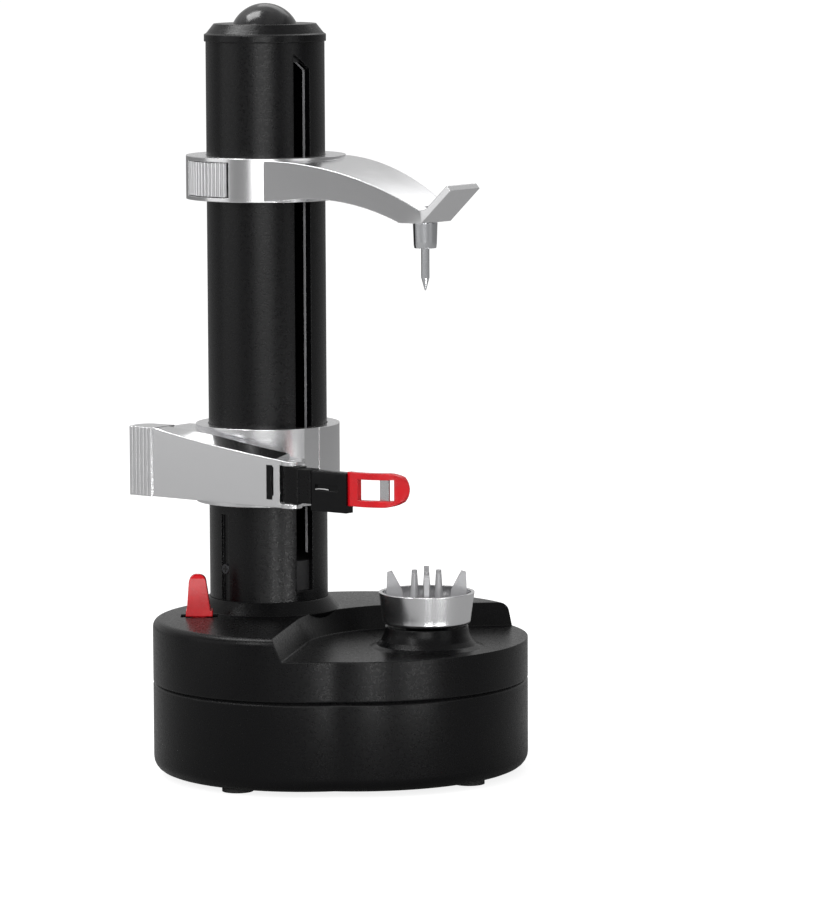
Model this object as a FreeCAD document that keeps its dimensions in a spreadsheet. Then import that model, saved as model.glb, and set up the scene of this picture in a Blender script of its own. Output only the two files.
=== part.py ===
import FreeCAD, Part
import math
import os
import Sketcher
from FreeCAD import Placement, Rotation, Vector

document = FreeCAD.newDocument("potato_peeler")

# Driving sizes, in millimetres and degrees: each is one cell of the sheet.
# The origin is on the floor under the base; +X is right, +Y away from the user, +Z up.
DRIVING = {
    # Base: two round lobes that grow into each other.
    "left_lobe_x": -8.5,
    "left_lobe_y": -6.5,
    "left_lobe_radius": 60.0,
    "right_lobe_x": 11.5,
    "right_lobe_y": 0.0,
    "right_lobe_radius": 66.0,
    "foot_height": 2.0,
    "foot_radius": 6.0,
    "foot_seat": 1.0,
    "seam_height": 36.5,
    "seam_groove": 0.8,
    "housing_top": 61.2,
    "housing_wall": 2.4,
    "bottom_round": 5.5,
    "top_round": 3.0,
    # Recess that drops towards the turntable.
    "recess_floor": 52.5,
    "recess_centre_x": 38.0,
    "recess_centre_y": -24.0,
    "recess_radius": 47.0,
    "recess_ramp": 4.2,
    "recess_edge_angle": 170.0,
    "recess_right_rise": 6.0,
    "recess_overrun": 14.5,
    # Turntable and its pedestal.
    "food_x": 38.0,
    "food_y": -26.0,
    "pedestal_foot_radius": 22.0,
    "pedestal_top_radius": 16.0,
    "pedestal_top": 60.5,
    "cup_foot_radius": 17.0,
    "cup_rim_radius": 18.5,
    "cup_wall": 1.4,
    "cup_height": 12.2,
    "cup_gap": 1.0,
    "cup_floor": 5.0,
    "fin_top": 81.8,
    "fin_thickness": 2.0,
    "peg_top": 81.5,
    "peg_ring_radius": 6.6,
    "peg_foot_radius": 2.0,
    "peg_tip_radius": 1.0,
    # Column.
    "column_x": -24.0,
    "column_y": 21.0,
    "column_radius": 23.2,
    "column_wall": 2.4,
    "column_foot": 55.0,
    "column_top": 283.8,
    "column_collar_radius": 27.7,
    "column_collar_top": 66.0,
    "socket_wall": 3.3,
    "socket_shelf": 2.0,
    "slot_angle": -50.5,
    "slot_width": 8.0,
    "slot_low": 70.0,
    "slot_high": 279.0,
    "slot_end_slope": 5.6,
    "rail_depth": 2.6,
    "rail_width": 1.6,
    "rail_low": 84.0,
    "trim_groove_angle": -136.0,
    "trim_groove_width": 4.0,
    "trim_groove_depth": 1.2,
    "trim_groove_top": 100.0,
    "column_screw_height": 78.5,
    "cap_radius": 23.8,
    "cap_lip": 2.7,
    "cap_height": 6.8,
    "cap_flat_radius": 20.0,
    "dome_radius": 12.5,
    "dome_height": 7.9,
    "dome_seat": 0.6,
    # Lead screw and the carriage it lifts.
    "screw_radius": 6.0,
    "journal_radius": 4.0,
    "top_journal_radius": 3.0,
    "shaft_tip_radius": 2.5,
    "bottom_bush_top": 81.5,
    "top_bush_low": 276.0,
    "cap_spigot": 1.5,
    "carrier_low": 108.0,
    "carrier_height": 22.0,
    "nut_wall": 2.7,
    "tongue_low": 113.0,
    "tongue_height": 12.0,
    "tongue_reach": 25.8,
    # Gear train.
    "slow_module": 1.0,
    "fast_module": 0.8,
    "wheel_teeth": 38,
    "idler_teeth": 40,
    "pinion_teeth": 12,
    "reduction_teeth": 48,
    "gear_width": 5.0,
    "slow_level": 43.5,
    "middle_level": 38.0,
    "fast_level": 32.5,
    "plate_low": 29.0,
    "plate_thickness": 2.5,
    "axle_radius": 2.0,
    "axle_shoulder_radius": 3.0,
    "axle_top": 49.5,
    "gear_one_angle": 160.0,
    "motor_angle": -63.2,
    "motor_radius": 12.2,
    "motor_low": 5.0,
    "motor_shaft_radius": 1.15,
    "motor_shaft_drop": 7.0,
    "motor_boss_radius": 3.2,
    "plate_margin": 6.0,
    # Screws, feet and standoffs: each stands this far inside its lobe's outer wall.
    "post_inset": 10.5,
    "foot_inset": 12.0,
    "left_standoff_inset": 18.0,
    "right_standoff_inset": 25.0,
    "plate_screw_head_radius": 2.6,
    "plate_screw_head_height": 0.8,
    "plate_screw_length": 7.0,
    "post_radius": 4.4,
    "screw_hole_radius": 1.6,
    "screw_shank_radius": 1.5,
    "screw_head_radius": 3.0,
    "screw_head_height": 2.4,
    "screw_shelf": 20.0,
    "screw_tip": 48.0,
    "standoff_radius": 3.5,
    "standoff_hole_depth": 8.0,
    # Supply socket for a 5.5 mm barrel plug.
    "jack_x": 14.0,
    "jack_height": 20.0,
    "jack_radius": 5.4,
    "jack_bore_radius": 2.85,
    "jack_depth": 9.5,
    "jack_length": 13.0,
    # Power lever.
    "lever_x": -50.5,
    "lever_y": -3.0,
    "lever_foot_width": 10.4,
    "lever_top_width": 6.0,
    "lever_depth": 8.0,
    "lever_top": 77.8,
    "lever_pivot": 55.0,
    "lever_pin_radius": 1.5,
    "lever_slot_length": 14.6,
    "lever_slot_width": 8.4,
    "switch_length": 9.0,
    "switch_width": 7.4,
    "switch_low": 41.0,
    "switch_high": 49.5,
    # Arms, in a frame turned about the column's axis towards the turntable.
    "ring_radius": 28.2,
    "peel_ring_low": 104.0,
    "peel_ring_high": 134.4,
    "beam_front": 41.0,
    "beam_depth": 11.0,
    "beam_low": 107.5,
    "beam_left_high": 134.2,
    "beam_right_high": 125.6,
    "beam_sag": 0.8,
    "window_left": 32.4,
    "window_width": 3.0,
    "window_low": 112.0,
    "window_high": 123.0,
    "window_depth": 1.6,
    "beam_left": -24.0,
    "grip_left": -37.0,
    "grip_high": 134.5,
    "grip_rib_radius": 1.15,
    "boss_half_width": 6.0,
    "boss_low": 121.0,
    "boss_high": 129.5,
    "pivot_reach": 42.0,
    "pivot_front": 38.0,
    "ear_radius": 4.0,
    "ear_thickness": 1.7,
    "clevis_depth": 3.6,
    "ring_groove_width": 7.2,
    "ring_groove_depth": 0.4,
    "pivot_pin_radius": 1.2,
    # The holder's, guard's and blade's sizes along the arm count from the pivot.
    "holder_block_step": 5.0,
    "holder_block_right": 11.0,
    "holder_block_depth": 6.0,
    "holder_right": 28.0,
    "holder_low": 107.5,
    "holder_high": 123.0,
    "holder_depth": 4.2,
    "holder_slot_low": 115.5,
    "holder_slot_height": 2.2,
    "guard_right": 50.0,
    "guard_low": 110.4,
    "guard_high": 123.4,
    "guard_bar": 2.5,
    "guard_thickness": 2.2,
    "guard_nose": 33.2,
    "throat_left": 33.0,
    "throat_right": 46.2,
    "blade_left": 40.4,
    "blade_width": 4.2,
    "blade_thickness": 0.8,
    # Top arm and its spike.
    "top_ring_low": 222.7,
    "top_ring_high": 239.6,
    "top_ring_radius": 31.2,
    "arm_shoulder_width": 56.0,
    "arm_end_width": 18.5,
    "arm_end_drop": 6.4,
    "arm_end_thickness": 5.0,
    "tab_length": 19.0,
    "tab_thickness": 2.6,
    "tab_angle": 43.0,
    "pad_angle": -102.8,
    "pad_half_angle": 22.0,
    "pad_side_gap": 1.9,
    "pad_radius": 31.6,
    "pad_thickness": 3.0,
    "pad_low": 224.6,
    "pad_high": 237.7,
    "pad_travel": 2.0,
    "lock_low": 229.5,
    "lock_thickness": 3.0,
    "lock_width": 1.7,
    "spike_radius": 4.75,
    "spike_sleeve_drop": 10.0,
    "spike_tip_length": 16.3,
    "spike_tip_radius": 1.6,
    "spike_shaft_radius": 2.0,
    "spike_bush_radius": 4.2,
    "spike_bush_height": 5.0,
    # Clearances.
    "running_gap": 0.05,
    "sliding_gap": 0.3,
    "end_gap": 0.2,
}

sheet = document.addObject("Spreadsheet::Sheet", "Sizes")
for row, (alias, value) in enumerate(DRIVING.items(), start=1):
    sheet.set(f"A{row}", alias)
    sheet.set(f"B{row}", str(value))
    sheet.setAlias(f"B{row}", alias)
document.recompute()


class Dim(float):
    """A number that also carries the sheet expression it comes from."""

    def __new__(cls, value, words=None):
        dim = super().__new__(cls, value)
        dim.words = words or f"({float(value)!r})"
        return dim

    def _join(self, sign, other, value, swap=False):
        other_words = getattr(other, "words", f"({float(other)!r})")
        left, right = (other_words, self.words) if swap else (self.words, other_words)
        return Dim(value, f"({left} {sign} {right})")

    def __add__(self, other):
        return self._join("+", other, float(self) + float(other))

    def __radd__(self, other):
        return self._join("+", other, float(other) + float(self), swap=True)

    def __sub__(self, other):
        return self._join("-", other, float(self) - float(other))

    def __rsub__(self, other):
        return self._join("-", other, float(other) - float(self), swap=True)

    def __mul__(self, other):
        return self._join("*", other, float(self) * float(other))

    def __rmul__(self, other):
        return self._join("*", other, float(other) * float(self), swap=True)

    def __truediv__(self, other):
        return self._join("/", other, float(self) / float(other))

    def __neg__(self):
        return 0 - self


class Sizes:
    """The cells of the sheet as attributes."""

    def __init__(self, driving):
        for alias, value in driving.items():
            setattr(self, alias, Dim(value, f"Sizes.{alias}"))


def cosine(angle):
    words = getattr(angle, "words", f"({float(angle)!r})")
    return Dim(math.cos(math.radians(angle)), f"cos({words} * 1 deg)")


def sine(angle):
    words = getattr(angle, "words", f"({float(angle)!r})")
    return Dim(math.sin(math.radians(angle)), f"sin({words} * 1 deg)")


def tie(thing, path, value):
    """Set a property and bind it to the sheet when the value comes from there."""
    setattr(thing, path, float(value))
    if isinstance(value, Dim):
        thing.setExpression(path, value.words)


def place(thing, x=0, y=0, z=0, turn=0, axis=Vector(0, 0, 1)):
    """Put a piece at x, y, z, turned about an axis through that point."""
    thing.Placement = Placement(Vector(float(x), float(y), float(z)), Rotation(axis, float(turn)))
    for letter, value in zip("xyz", (x, y, z)):
        if isinstance(value, Dim):
            thing.setExpression(f"Placement.Base.{letter}", value.words)
    return thing


def cylinder(radius, low, high, x=0, y=0):
    made = document.addObject("Part::Cylinder", "Cylinder")
    tie(made, "Radius", radius)
    tie(made, "Height", high - low)
    return place(made, x, y, low)


def cylinder_along(direction, radius, length, x, y, z):
    made = document.addObject("Part::Cylinder", "CrossCylinder")
    tie(made, "Radius", radius)
    tie(made, "Height", length)
    turn = Rotation(Vector(0, 0, 1), direction)
    return place(made, x, y, z, math.degrees(turn.Angle), turn.Axis)


def cone(low_radius, high_radius, low, high, x=0, y=0):
    made = document.addObject("Part::Cone", "Cone")
    tie(made, "Radius1", low_radius)
    tie(made, "Radius2", high_radius)
    tie(made, "Height", high - low)
    return place(made, x, y, low)


def block(low, high):
    """A box between two corners."""
    made = document.addObject("Part::Box", "Block")
    for path, start, end in zip(("Length", "Width", "Height"), low, high):
        tie(made, path, end - start)
    return place(made, *low)


def fuse(*pieces):
    made = document.addObject("Part::MultiFuse", "Fused")
    made.Shapes = list(pieces)
    return made


def common(*pieces):
    made = document.addObject("Part::MultiCommon", "Common")
    made.Shapes = list(pieces)
    return made


def group(*pieces):
    """Separate solids that share one node."""
    made = document.addObject("Part::Compound", "Group")
    made.Links = list(pieces)
    return made


def cut(base, *tools):
    made = document.addObject("Part::Cut", "Cut")
    made.Base = base
    made.Tool = tools[0] if len(tools) == 1 else fuse(*tools)
    return made


def origin_plane(body, role):
    return next(plane for plane in body.Origin.OriginFeatures if plane.Role == role)


def outline(body, role, corners, lift=0):
    """A closed sketch through the corners. A corner written as a list of two points is the
    middle of an arc and its end."""
    sketch = body.newObject("Sketcher::SketchObject", "Outline")
    sketch.AttachmentSupport = (origin_plane(body, role), [""])
    sketch.MapMode = "FlatFace"
    sketch.AttachmentOffset = Placement(Vector(0, 0, float(lift)), Rotation())
    if isinstance(lift, Dim):
        sketch.setExpression("AttachmentOffset.Base.z", lift.words)
    ends = [corner[1] if isinstance(corner, list) else corner for corner in corners]
    flat = [Vector(float(x), float(y), 0) for x, y in ends]
    joints = []
    for number, corner in enumerate(corners):
        start, end = flat[number - 1], flat[number]
        if isinstance(corner, list):
            middle = Vector(float(corner[0][0]), float(corner[0][1]), 0)
            edge = sketch.addGeometry(Part.ArcOfCircle(start, middle, end))
        else:
            edge = sketch.addGeometry(Part.LineSegment(start, end))
        forward = (sketch.getPoint(edge, 2) - end).Length < 1e-6
        joints.append((edge, 1, 2) if forward else (edge, 2, 1))
    for number, corner in enumerate(corners):
        edge, _, tail = joints[number]
        following, head, _ = joints[(number + 1) % len(corners)]
        for kind, value in zip(("DistanceX", "DistanceY"), ends[number]):
            row = Sketcher.Constraint(kind, -1, 1, edge, tail, float(value))
            index = sketch.addConstraint(row)
            if isinstance(value, Dim):
                sketch.setExpression(f"Constraints[{index}]", value.words)
        sketch.addConstraint(Sketcher.Constraint("Coincident", edge, tail, following, head))
        if isinstance(corner, list):
            radius = sketch.Geometry[edge].Radius
            sketch.addConstraint(Sketcher.Constraint("Radius", edge, radius))
    return sketch


def padded(body, sketch, length):
    pad = body.newObject("PartDesign::Pad", "Pad")
    pad.Profile = sketch
    tie(pad, "Length", length)
    return body


def prism(corners, low, high):
    """An outline seen from above, standing from low to high."""
    body = document.addObject("PartDesign::Body", "Prism")
    return padded(body, outline(body, "XY_Plane", corners, low), high - low)


def front_prism(corners, near, far):
    """An outline seen from the front, running from near to far along Y."""
    body = document.addObject("PartDesign::Body", "FrontPrism")
    return padded(body, outline(body, "XZ_Plane", corners, -far), far - near)


def side_prism(corners, left, right):
    """An outline seen from the side, running from left to right along X."""
    body = document.addObject("PartDesign::Body", "SidePrism")
    return padded(body, outline(body, "YZ_Plane", corners, left), right - left)


def turned(corners, x=0, y=0):
    """A profile of radius and height, turned about its upright axis."""
    body = document.addObject("PartDesign::Body", "Turned")
    sketch = outline(body, "XZ_Plane", corners)
    spin = body.newObject("PartDesign::Revolution", "Revolution")
    spin.Profile = sketch
    spin.ReferenceAxis = (sketch, ["V_Axis"])
    spin.Angle = 360
    return place(body, x, y)


def rounded(body, radius, chosen):
    """Round the edges of a body that the test picks."""
    document.recompute()
    tip = body.Tip
    names = [f"Edge{n}" for n, edge in enumerate(tip.Shape.Edges, start=1) if chosen(edge)]
    fillet = body.newObject("PartDesign::Fillet", "Fillet")
    fillet.Base = (tip, names)
    tie(fillet, "Radius", radius)
    return body


def level(height):
    """Picks the edges that lie flat at one height."""
    def chosen(edge):
        box = edge.BoundBox
        return abs(box.ZMin - height) < 1e-4 and abs(box.ZMax - height) < 1e-4
    return chosen


def heading(start, end):
    return math.degrees(math.atan2(end[1] - start[1], end[0] - start[0]))


s = Sizes(DRIVING)
nodes = {}
food = (s.food_x, s.food_y)
column = (s.column_x, s.column_y)
arm_angle = heading(column, food)
spike_reach = math.hypot(food[0] - column[0], food[1] - column[1])


def node(label, piece):
    """Name a finished sub-part; its label is also its file."""
    piece.Label = label
    nodes[label] = piece
    return piece


# Base housing: each lobe is turned, and the two grow together with a crease front and rear.
LOBES = (
    (s.left_lobe_x, s.left_lobe_y, s.left_lobe_radius),
    (s.right_lobe_x, s.right_lobe_y, s.right_lobe_radius),
)
LEFT, RIGHT = LOBES


def spot(lobe, angle, inset):
    """A point inside a lobe's wall, at an angle round the lobe's centre."""
    x, y, radius = lobe
    return x + (radius - inset) * cosine(angle), y + (radius - inset) * sine(angle)


POSTS = (
    spot(LEFT, -139, s.post_inset), spot(RIGHT, -20, s.post_inset),
    spot(RIGHT, 53, s.post_inset), spot(LEFT, 157, s.post_inset),
)
FEET = (
    spot(LEFT, -123, s.foot_inset), spot(RIGHT, -38, s.foot_inset),
    spot(RIGHT, 70, s.foot_inset), spot(LEFT, 133, s.foot_inset),
)
STANDOFFS = (
    spot(LEFT, -127, s.left_standoff_inset), spot(LEFT, -78, s.left_standoff_inset),
    spot(RIGHT, -28, s.right_standoff_inset), spot(LEFT, 123, s.left_standoff_inset),
)
floor_top = s.foot_height + s.housing_wall
rear_wall = s.right_lobe_y + s.right_lobe_radius


def round_edge(radius, face, size, way):
    """A rounded edge in six chords, from the flat end face out to the wall."""
    return [
        (radius - size + size * sine(turn), face + way * (size - size * cosine(turn)))
        for turn in (0, 15, 30, 45, 60, 75, 90)
    ]


def lower_lobe(x, y, radius):
    low, seam, groove = s.foot_height, s.seam_height, s.seam_groove
    return turned([
        (0, low),
        *round_edge(radius, low, s.bottom_round, 1),
        (radius, seam - groove),
        (radius - groove, seam),
        (0, seam),
    ], x, y)


def upper_lobe(x, y, radius):
    top, seam, groove = s.housing_top, s.seam_height, s.seam_groove
    return turned([
        (0, seam),
        (radius - groove, seam),
        (radius, seam + groove),
        *reversed(round_edge(radius, top, s.top_round, -1)),
        (0, top),
    ], x, y)


def lobe_room(low, high):
    """The hollow inside the housing's wall."""
    return fuse(*(cylinder(radius - s.housing_wall, low, high, x, y) for x, y, radius in LOBES))


lower_body = fuse(
    cut(fuse(*(lower_lobe(*lobe) for lobe in LOBES)), lobe_room(floor_top, s.seam_height + 1)),
    *(cylinder(s.post_radius, floor_top - 1, s.seam_height, x, y) for x, y in POSTS),
    *(cylinder(s.standoff_radius, floor_top - 1, s.plate_low, x, y) for x, y in STANDOFFS),
)
node("base_lower_housing", cut(
    lower_body,
    *(cylinder(s.screw_hole_radius, s.screw_shelf, s.seam_height + 1, x, y) for x, y in POSTS),
    *(cylinder(s.screw_head_radius + s.end_gap, 0, s.screw_shelf, x, y) for x, y in POSTS),
    *(cylinder(s.foot_radius, 0, s.foot_height + s.foot_seat, x, y) for x, y in FEET),
    *(cylinder(s.screw_hole_radius, s.plate_low - s.standoff_hole_depth, s.plate_low + 1, x, y)
      for x, y in STANDOFFS),
    cylinder_along(Vector(0, 1, 0), s.jack_radius, 2 * s.jack_length,
                   s.jack_x, rear_wall - 1.5 * s.jack_length, s.jack_height),
))
node("rubber_feet", group(*(
    cylinder(s.foot_radius, 0, s.foot_height + s.foot_seat, x, y) for x, y in FEET
)))


def screw(x, y, head_low, shank_high):
    """A pan-head screw driven upwards."""
    head_top = head_low + s.screw_head_height
    head = cylinder(s.screw_head_radius, head_low, head_top, x, y)
    return fuse(head, cylinder(s.screw_shank_radius, head_top, shank_high, x, y))


node("housing_screws", group(*(
    screw(x, y, s.screw_shelf - s.screw_head_height, s.screw_tip) for x, y in POSTS
)))


def recess(drop, spread):
    """The hollow that sweeps round the turntable, with a sloping rim."""
    body = document.addObject("PartDesign::Body", "Recess")
    x, y, edge = s.recess_centre_x, s.recess_centre_y, s.recess_edge_angle
    far = s.right_lobe_x + s.right_lobe_radius + s.recess_overrun
    middle = (edge + 90) / 2

    def rim(radius):
        start = (x + radius * cosine(edge), y + radius * sine(edge))
        halfway = (x + radius * cosine(middle), y + radius * sine(middle))
        return [
            (start[0] - (start[1] + far) * sine(edge), -far),
            start,
            [halfway, (x, y + radius)],
            (far, y + radius + s.recess_right_rise),
            (far, -far),
        ]

    foot = s.recess_radius + spread
    low = outline(body, "XY_Plane", rim(foot), s.recess_floor - drop)
    top = outline(body, "XY_Plane", rim(foot + s.recess_ramp), s.housing_top - drop + 0.5)
    loft = body.newObject("PartDesign::AdditiveLoft", "Sweep")
    loft.Profile = low
    loft.Sections = [top]
    loft.Ruled = True
    return body


pedestal = turned([
    (0, s.recess_floor - 1),
    (s.pedestal_foot_radius, s.recess_floor - 1),
    (s.pedestal_foot_radius, s.recess_floor),
    (s.pedestal_top_radius + 3.4, s.recess_floor + 1.0),
    (s.pedestal_top_radius + 1.6, s.recess_floor + 2.8),
    (s.pedestal_top_radius + 0.5, s.recess_floor + 5.2),
    (s.pedestal_top_radius, s.pedestal_top),
    (0, s.pedestal_top),
], s.food_x, s.food_y)
socket = turned([
    (0, s.column_foot - s.socket_shelf),
    (s.column_radius + s.socket_wall, s.column_foot - s.socket_shelf),
    (s.column_radius + s.socket_wall, s.housing_top - s.housing_wall),
    (s.column_collar_radius, s.housing_top),
    (s.column_radius + 0.7, s.column_collar_top),
    (0, s.column_collar_top),
], s.column_x, s.column_y)
upper_shell = cut(
    fuse(*(upper_lobe(*lobe) for lobe in LOBES)),
    cut(lobe_room(s.seam_height - 1, s.housing_top - s.housing_wall),
        recess(s.housing_wall, s.housing_wall)),
)
upper_posts = [cylinder(s.post_radius, s.seam_height, s.housing_top - 1, x, y) for x, y in POSTS]
upper_form = cut(fuse(upper_shell, *upper_posts), recess(0, 0))
ear_gap = s.switch_width / 2
ear_side = 2.0


def lever_ear(near):
    return block(
        (s.lever_x - 4.5, near, s.switch_low),
        (s.lever_x + 4.5, near + ear_side, s.housing_top - 1),
    )


bush_radius = s.journal_radius + 2.5
slot_half = s.lever_slot_length / 2
node("base_upper_housing", cut(
    fuse(upper_form, pedestal, socket,
         lever_ear(s.lever_y - ear_gap - ear_side), lever_ear(s.lever_y + ear_gap)),
    cylinder(s.column_radius, s.column_foot, s.column_collar_top + 1, s.column_x, s.column_y),
    cylinder(s.column_radius - s.column_wall - 4, s.column_foot - 5, s.column_foot + 1,
             s.column_x, s.column_y),
    cylinder(bush_radius, s.recess_floor - 5, s.pedestal_top + 1, s.food_x, s.food_y),
    *(cylinder(s.screw_shank_radius, s.seam_height - 1, s.screw_tip, x, y) for x, y in POSTS),
    block((s.lever_x - slot_half, s.lever_y - s.lever_slot_width / 2, s.lever_pivot + 1.5),
          (s.lever_x + slot_half, s.lever_y + s.lever_slot_width / 2, s.housing_top + 1)),
    cylinder_along(Vector(0, 1, 0), s.lever_pin_radius, 2 * (ear_gap + ear_side),
                   s.lever_x, s.lever_y - ear_gap - ear_side, s.lever_pivot),
))

# Power lever: a red rocker on a pin, over a microswitch that the ears hold.
node("lever_pin", cylinder_along(
    Vector(0, 1, 0), s.lever_pin_radius, 2 * (ear_gap + ear_side),
    s.lever_x, s.lever_y - ear_gap - ear_side, s.lever_pivot,
))
node("switch_body", block(
    (s.lever_x - s.switch_length / 2, s.lever_y - ear_gap, s.switch_low),
    (s.lever_x + s.switch_length / 2, s.lever_y + ear_gap, s.switch_high),
))
lever_low = s.housing_top + s.sliding_gap
ledge = lever_low + 2.2
half_foot, half_top = s.lever_foot_width / 2, s.lever_top_width / 2
lever_front = front_prism([
    (s.lever_x - half_foot, lever_low),
    (s.lever_x + half_foot, lever_low),
    (s.lever_x + half_foot, ledge),
    (s.lever_x + half_foot - 0.9, ledge),
    (s.lever_x + half_top - 0.3, s.lever_top - half_top),
    [(s.lever_x - 0.8, s.lever_top), (s.lever_x - half_top - 1.0, s.lever_top - half_top)],
    (s.lever_x - half_foot + 0.4, ledge),
    (s.lever_x - half_foot, ledge),
], s.lever_y - s.lever_depth / 2, s.lever_y + s.lever_depth / 2)
lever_side = side_prism([
    (s.lever_y - s.lever_depth / 2, lever_low),
    (s.lever_y + s.lever_depth / 2, lever_low),
    (s.lever_y + s.lever_depth / 2, ledge),
    (s.lever_y + half_top - 0.4, s.lever_top - 1.6),
    [(s.lever_y, s.lever_top), (s.lever_y - half_top + 0.4, s.lever_top - 1.6)],
    (s.lever_y - s.lever_depth / 2, ledge),
], s.lever_x - half_foot - 1, s.lever_x + half_foot + 1)
stem_half = ear_gap - s.sliding_gap
node("power_lever", cut(
    fuse(common(lever_front, lever_side), block(
        (s.lever_x - 2.5, s.lever_y - stem_half, s.switch_high + 1),
        (s.lever_x + 2.5, s.lever_y + stem_half, lever_low + 1),
    )),
    cylinder_along(Vector(0, 1, 0), s.lever_pin_radius + s.running_gap, 2 * ear_gap + 2,
                   s.lever_x, s.lever_y - ear_gap - 1, s.lever_pivot),
))

# Supply socket in the rear wall.
node("dc_jack", cut(
    cylinder_along(Vector(0, 1, 0), s.jack_radius, s.jack_length,
                   s.jack_x, rear_wall - s.jack_length - 0.4, s.jack_height),
    cylinder_along(Vector(0, 1, 0), s.jack_bore_radius, s.jack_depth + 1,
                   s.jack_x, rear_wall - s.jack_depth - 0.4, s.jack_height),
))

# Column: a slotted tube seated in the housing's socket, with two rails inside the slot.
column_inside = s.column_radius - s.column_wall


def column_turned(piece, angle):
    """Stand a piece that was made about the Z axis on the column's axis."""
    return place(piece, s.column_x, s.column_y, 0, angle)


def rail(near):
    """A rib inside the tube, along one edge of the slot."""
    outer = column_inside + 0.4
    return block(
        (outer - s.rail_depth, near, s.rail_low),
        (outer, near + s.rail_width, s.top_bush_low),
    )


slotted = cut(
    fuse(
        cut(cylinder(s.column_radius, s.column_foot, s.column_top),
            cylinder(column_inside, s.column_foot - 1, s.column_top + 1)),
        rail(-s.slot_width / 2 - s.rail_width),
        rail(s.slot_width / 2),
    ),
    side_prism([
        (-s.slot_width / 2, s.slot_low),
        (s.slot_width / 2, s.slot_low),
        (s.slot_width / 2, s.slot_high - s.slot_end_slope),
        (-s.slot_width / 2 + 0.8, s.slot_high),
        (-s.slot_width / 2, s.slot_high),
    ], column_inside - 2, s.column_radius + 1),
    place(group(block(
        (s.column_radius - s.trim_groove_depth, -s.trim_groove_width / 2, s.column_collar_top),
        (s.column_radius + 1, s.trim_groove_width / 2, s.trim_groove_top),
    )), turn=s.trim_groove_angle - s.slot_angle),
    place(group(cylinder_along(
        Vector(1, 0, 0), s.screw_shank_radius, s.column_wall + 1,
        column_inside - 0.5, 0, s.column_screw_height,
    )), turn=s.trim_groove_angle - s.slot_angle),
)
node("column_tube", column_turned(group(slotted), s.slot_angle))
column_screw_reach = 8.0
groove_floor = s.column_radius - s.trim_groove_depth


def column_screw_shank():
    return cylinder_along(Vector(1, 0, 0), s.screw_shank_radius, column_screw_reach,
                          groove_floor - column_screw_reach, 0, s.column_screw_height)


node("column_screw", column_turned(fuse(
    column_screw_shank(),
    cylinder_along(Vector(1, 0, 0), 1.9, s.trim_groove_depth - 0.1,
                   groove_floor, 0, s.column_screw_height),
), s.trim_groove_angle))
node("screw_bottom_bush", cut(
    cylinder(column_inside, s.column_foot, s.bottom_bush_top, s.column_x, s.column_y),
    cylinder(s.journal_radius + s.running_gap, s.column_foot - 1, s.bottom_bush_top + 1,
             s.column_x, s.column_y),
    column_turned(group(column_screw_shank()), s.trim_groove_angle),
))
spigot_low = s.column_top - s.cap_spigot
node("screw_top_bush", cut(
    cylinder(column_inside, s.top_bush_low, spigot_low, s.column_x, s.column_y),
    cylinder(s.top_journal_radius + s.running_gap, s.top_bush_low - 1, spigot_low - 1,
             s.column_x, s.column_y),
))
cap_top = s.column_top + s.cap_height
cap_form = turned([
    (0, spigot_low),
    (column_inside, spigot_low),
    (column_inside, s.column_top),
    (s.cap_radius, s.column_top),
    (s.cap_radius, s.column_top + s.cap_lip),
    (s.cap_radius - 0.9, s.column_top + s.cap_lip + 0.5),
    (s.cap_flat_radius, cap_top),
    (0, cap_top),
], s.column_x, s.column_y)
dome_low = cap_top - s.dome_seat
node("column_cap", cut(
    cap_form, cylinder(s.dome_radius, dome_low, cap_top + 1, s.column_x, s.column_y),
))
ball = (s.dome_radius * s.dome_radius + s.dome_height * s.dome_height) / (2 * s.dome_height)
dome_top = cap_top + s.dome_height
node("cap_dome", turned([
    (0, dome_low),
    (s.dome_radius, dome_low),
    (s.dome_radius, cap_top),
    [(ball * sine(36), dome_top - ball + ball * cosine(36)), (0, dome_top)],
], s.column_x, s.column_y))

# Lead screw, and the nut that climbs it behind the slot.
plate_top = s.plate_low + s.plate_thickness
shaft_foot = plate_top + s.end_gap
node("lead_screw", turned([
    (0, s.plate_low),
    (s.shaft_tip_radius, s.plate_low),
    (s.shaft_tip_radius, shaft_foot),
    (s.journal_radius, shaft_foot),
    (s.journal_radius, s.bottom_bush_top + s.end_gap),
    (s.screw_radius, s.bottom_bush_top + s.end_gap),
    (s.screw_radius, s.top_bush_low - s.end_gap),
    (s.top_journal_radius, s.top_bush_low - s.end_gap),
    (s.top_journal_radius, spigot_low - 1.5),
    (0, spigot_low - 1.5),
], s.column_x, s.column_y))
carrier_high = s.carrier_low + s.carrier_height
nut_bore = s.screw_radius + s.running_gap
nut_outside = nut_bore + s.nut_wall
carrier_radius = column_inside - s.rail_depth
tongue_half = s.slot_width / 2 - s.sliding_gap
node("nut_carrier", column_turned(cut(
    fuse(
        cylinder(carrier_radius, s.carrier_low, carrier_high),
        block((nut_outside + 1, -tongue_half, s.tongue_low),
              (s.tongue_reach, tongue_half, s.tongue_low + s.tongue_height)),
    ),
    cylinder(nut_outside, s.carrier_low - 1, carrier_high + 1),
), s.slot_angle))
node("half_nut", cut(
    cylinder(nut_outside, s.carrier_low, carrier_high, s.column_x, s.column_y),
    cylinder(nut_bore, s.carrier_low - 1, carrier_high + 1, s.column_x, s.column_y),
))


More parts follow.
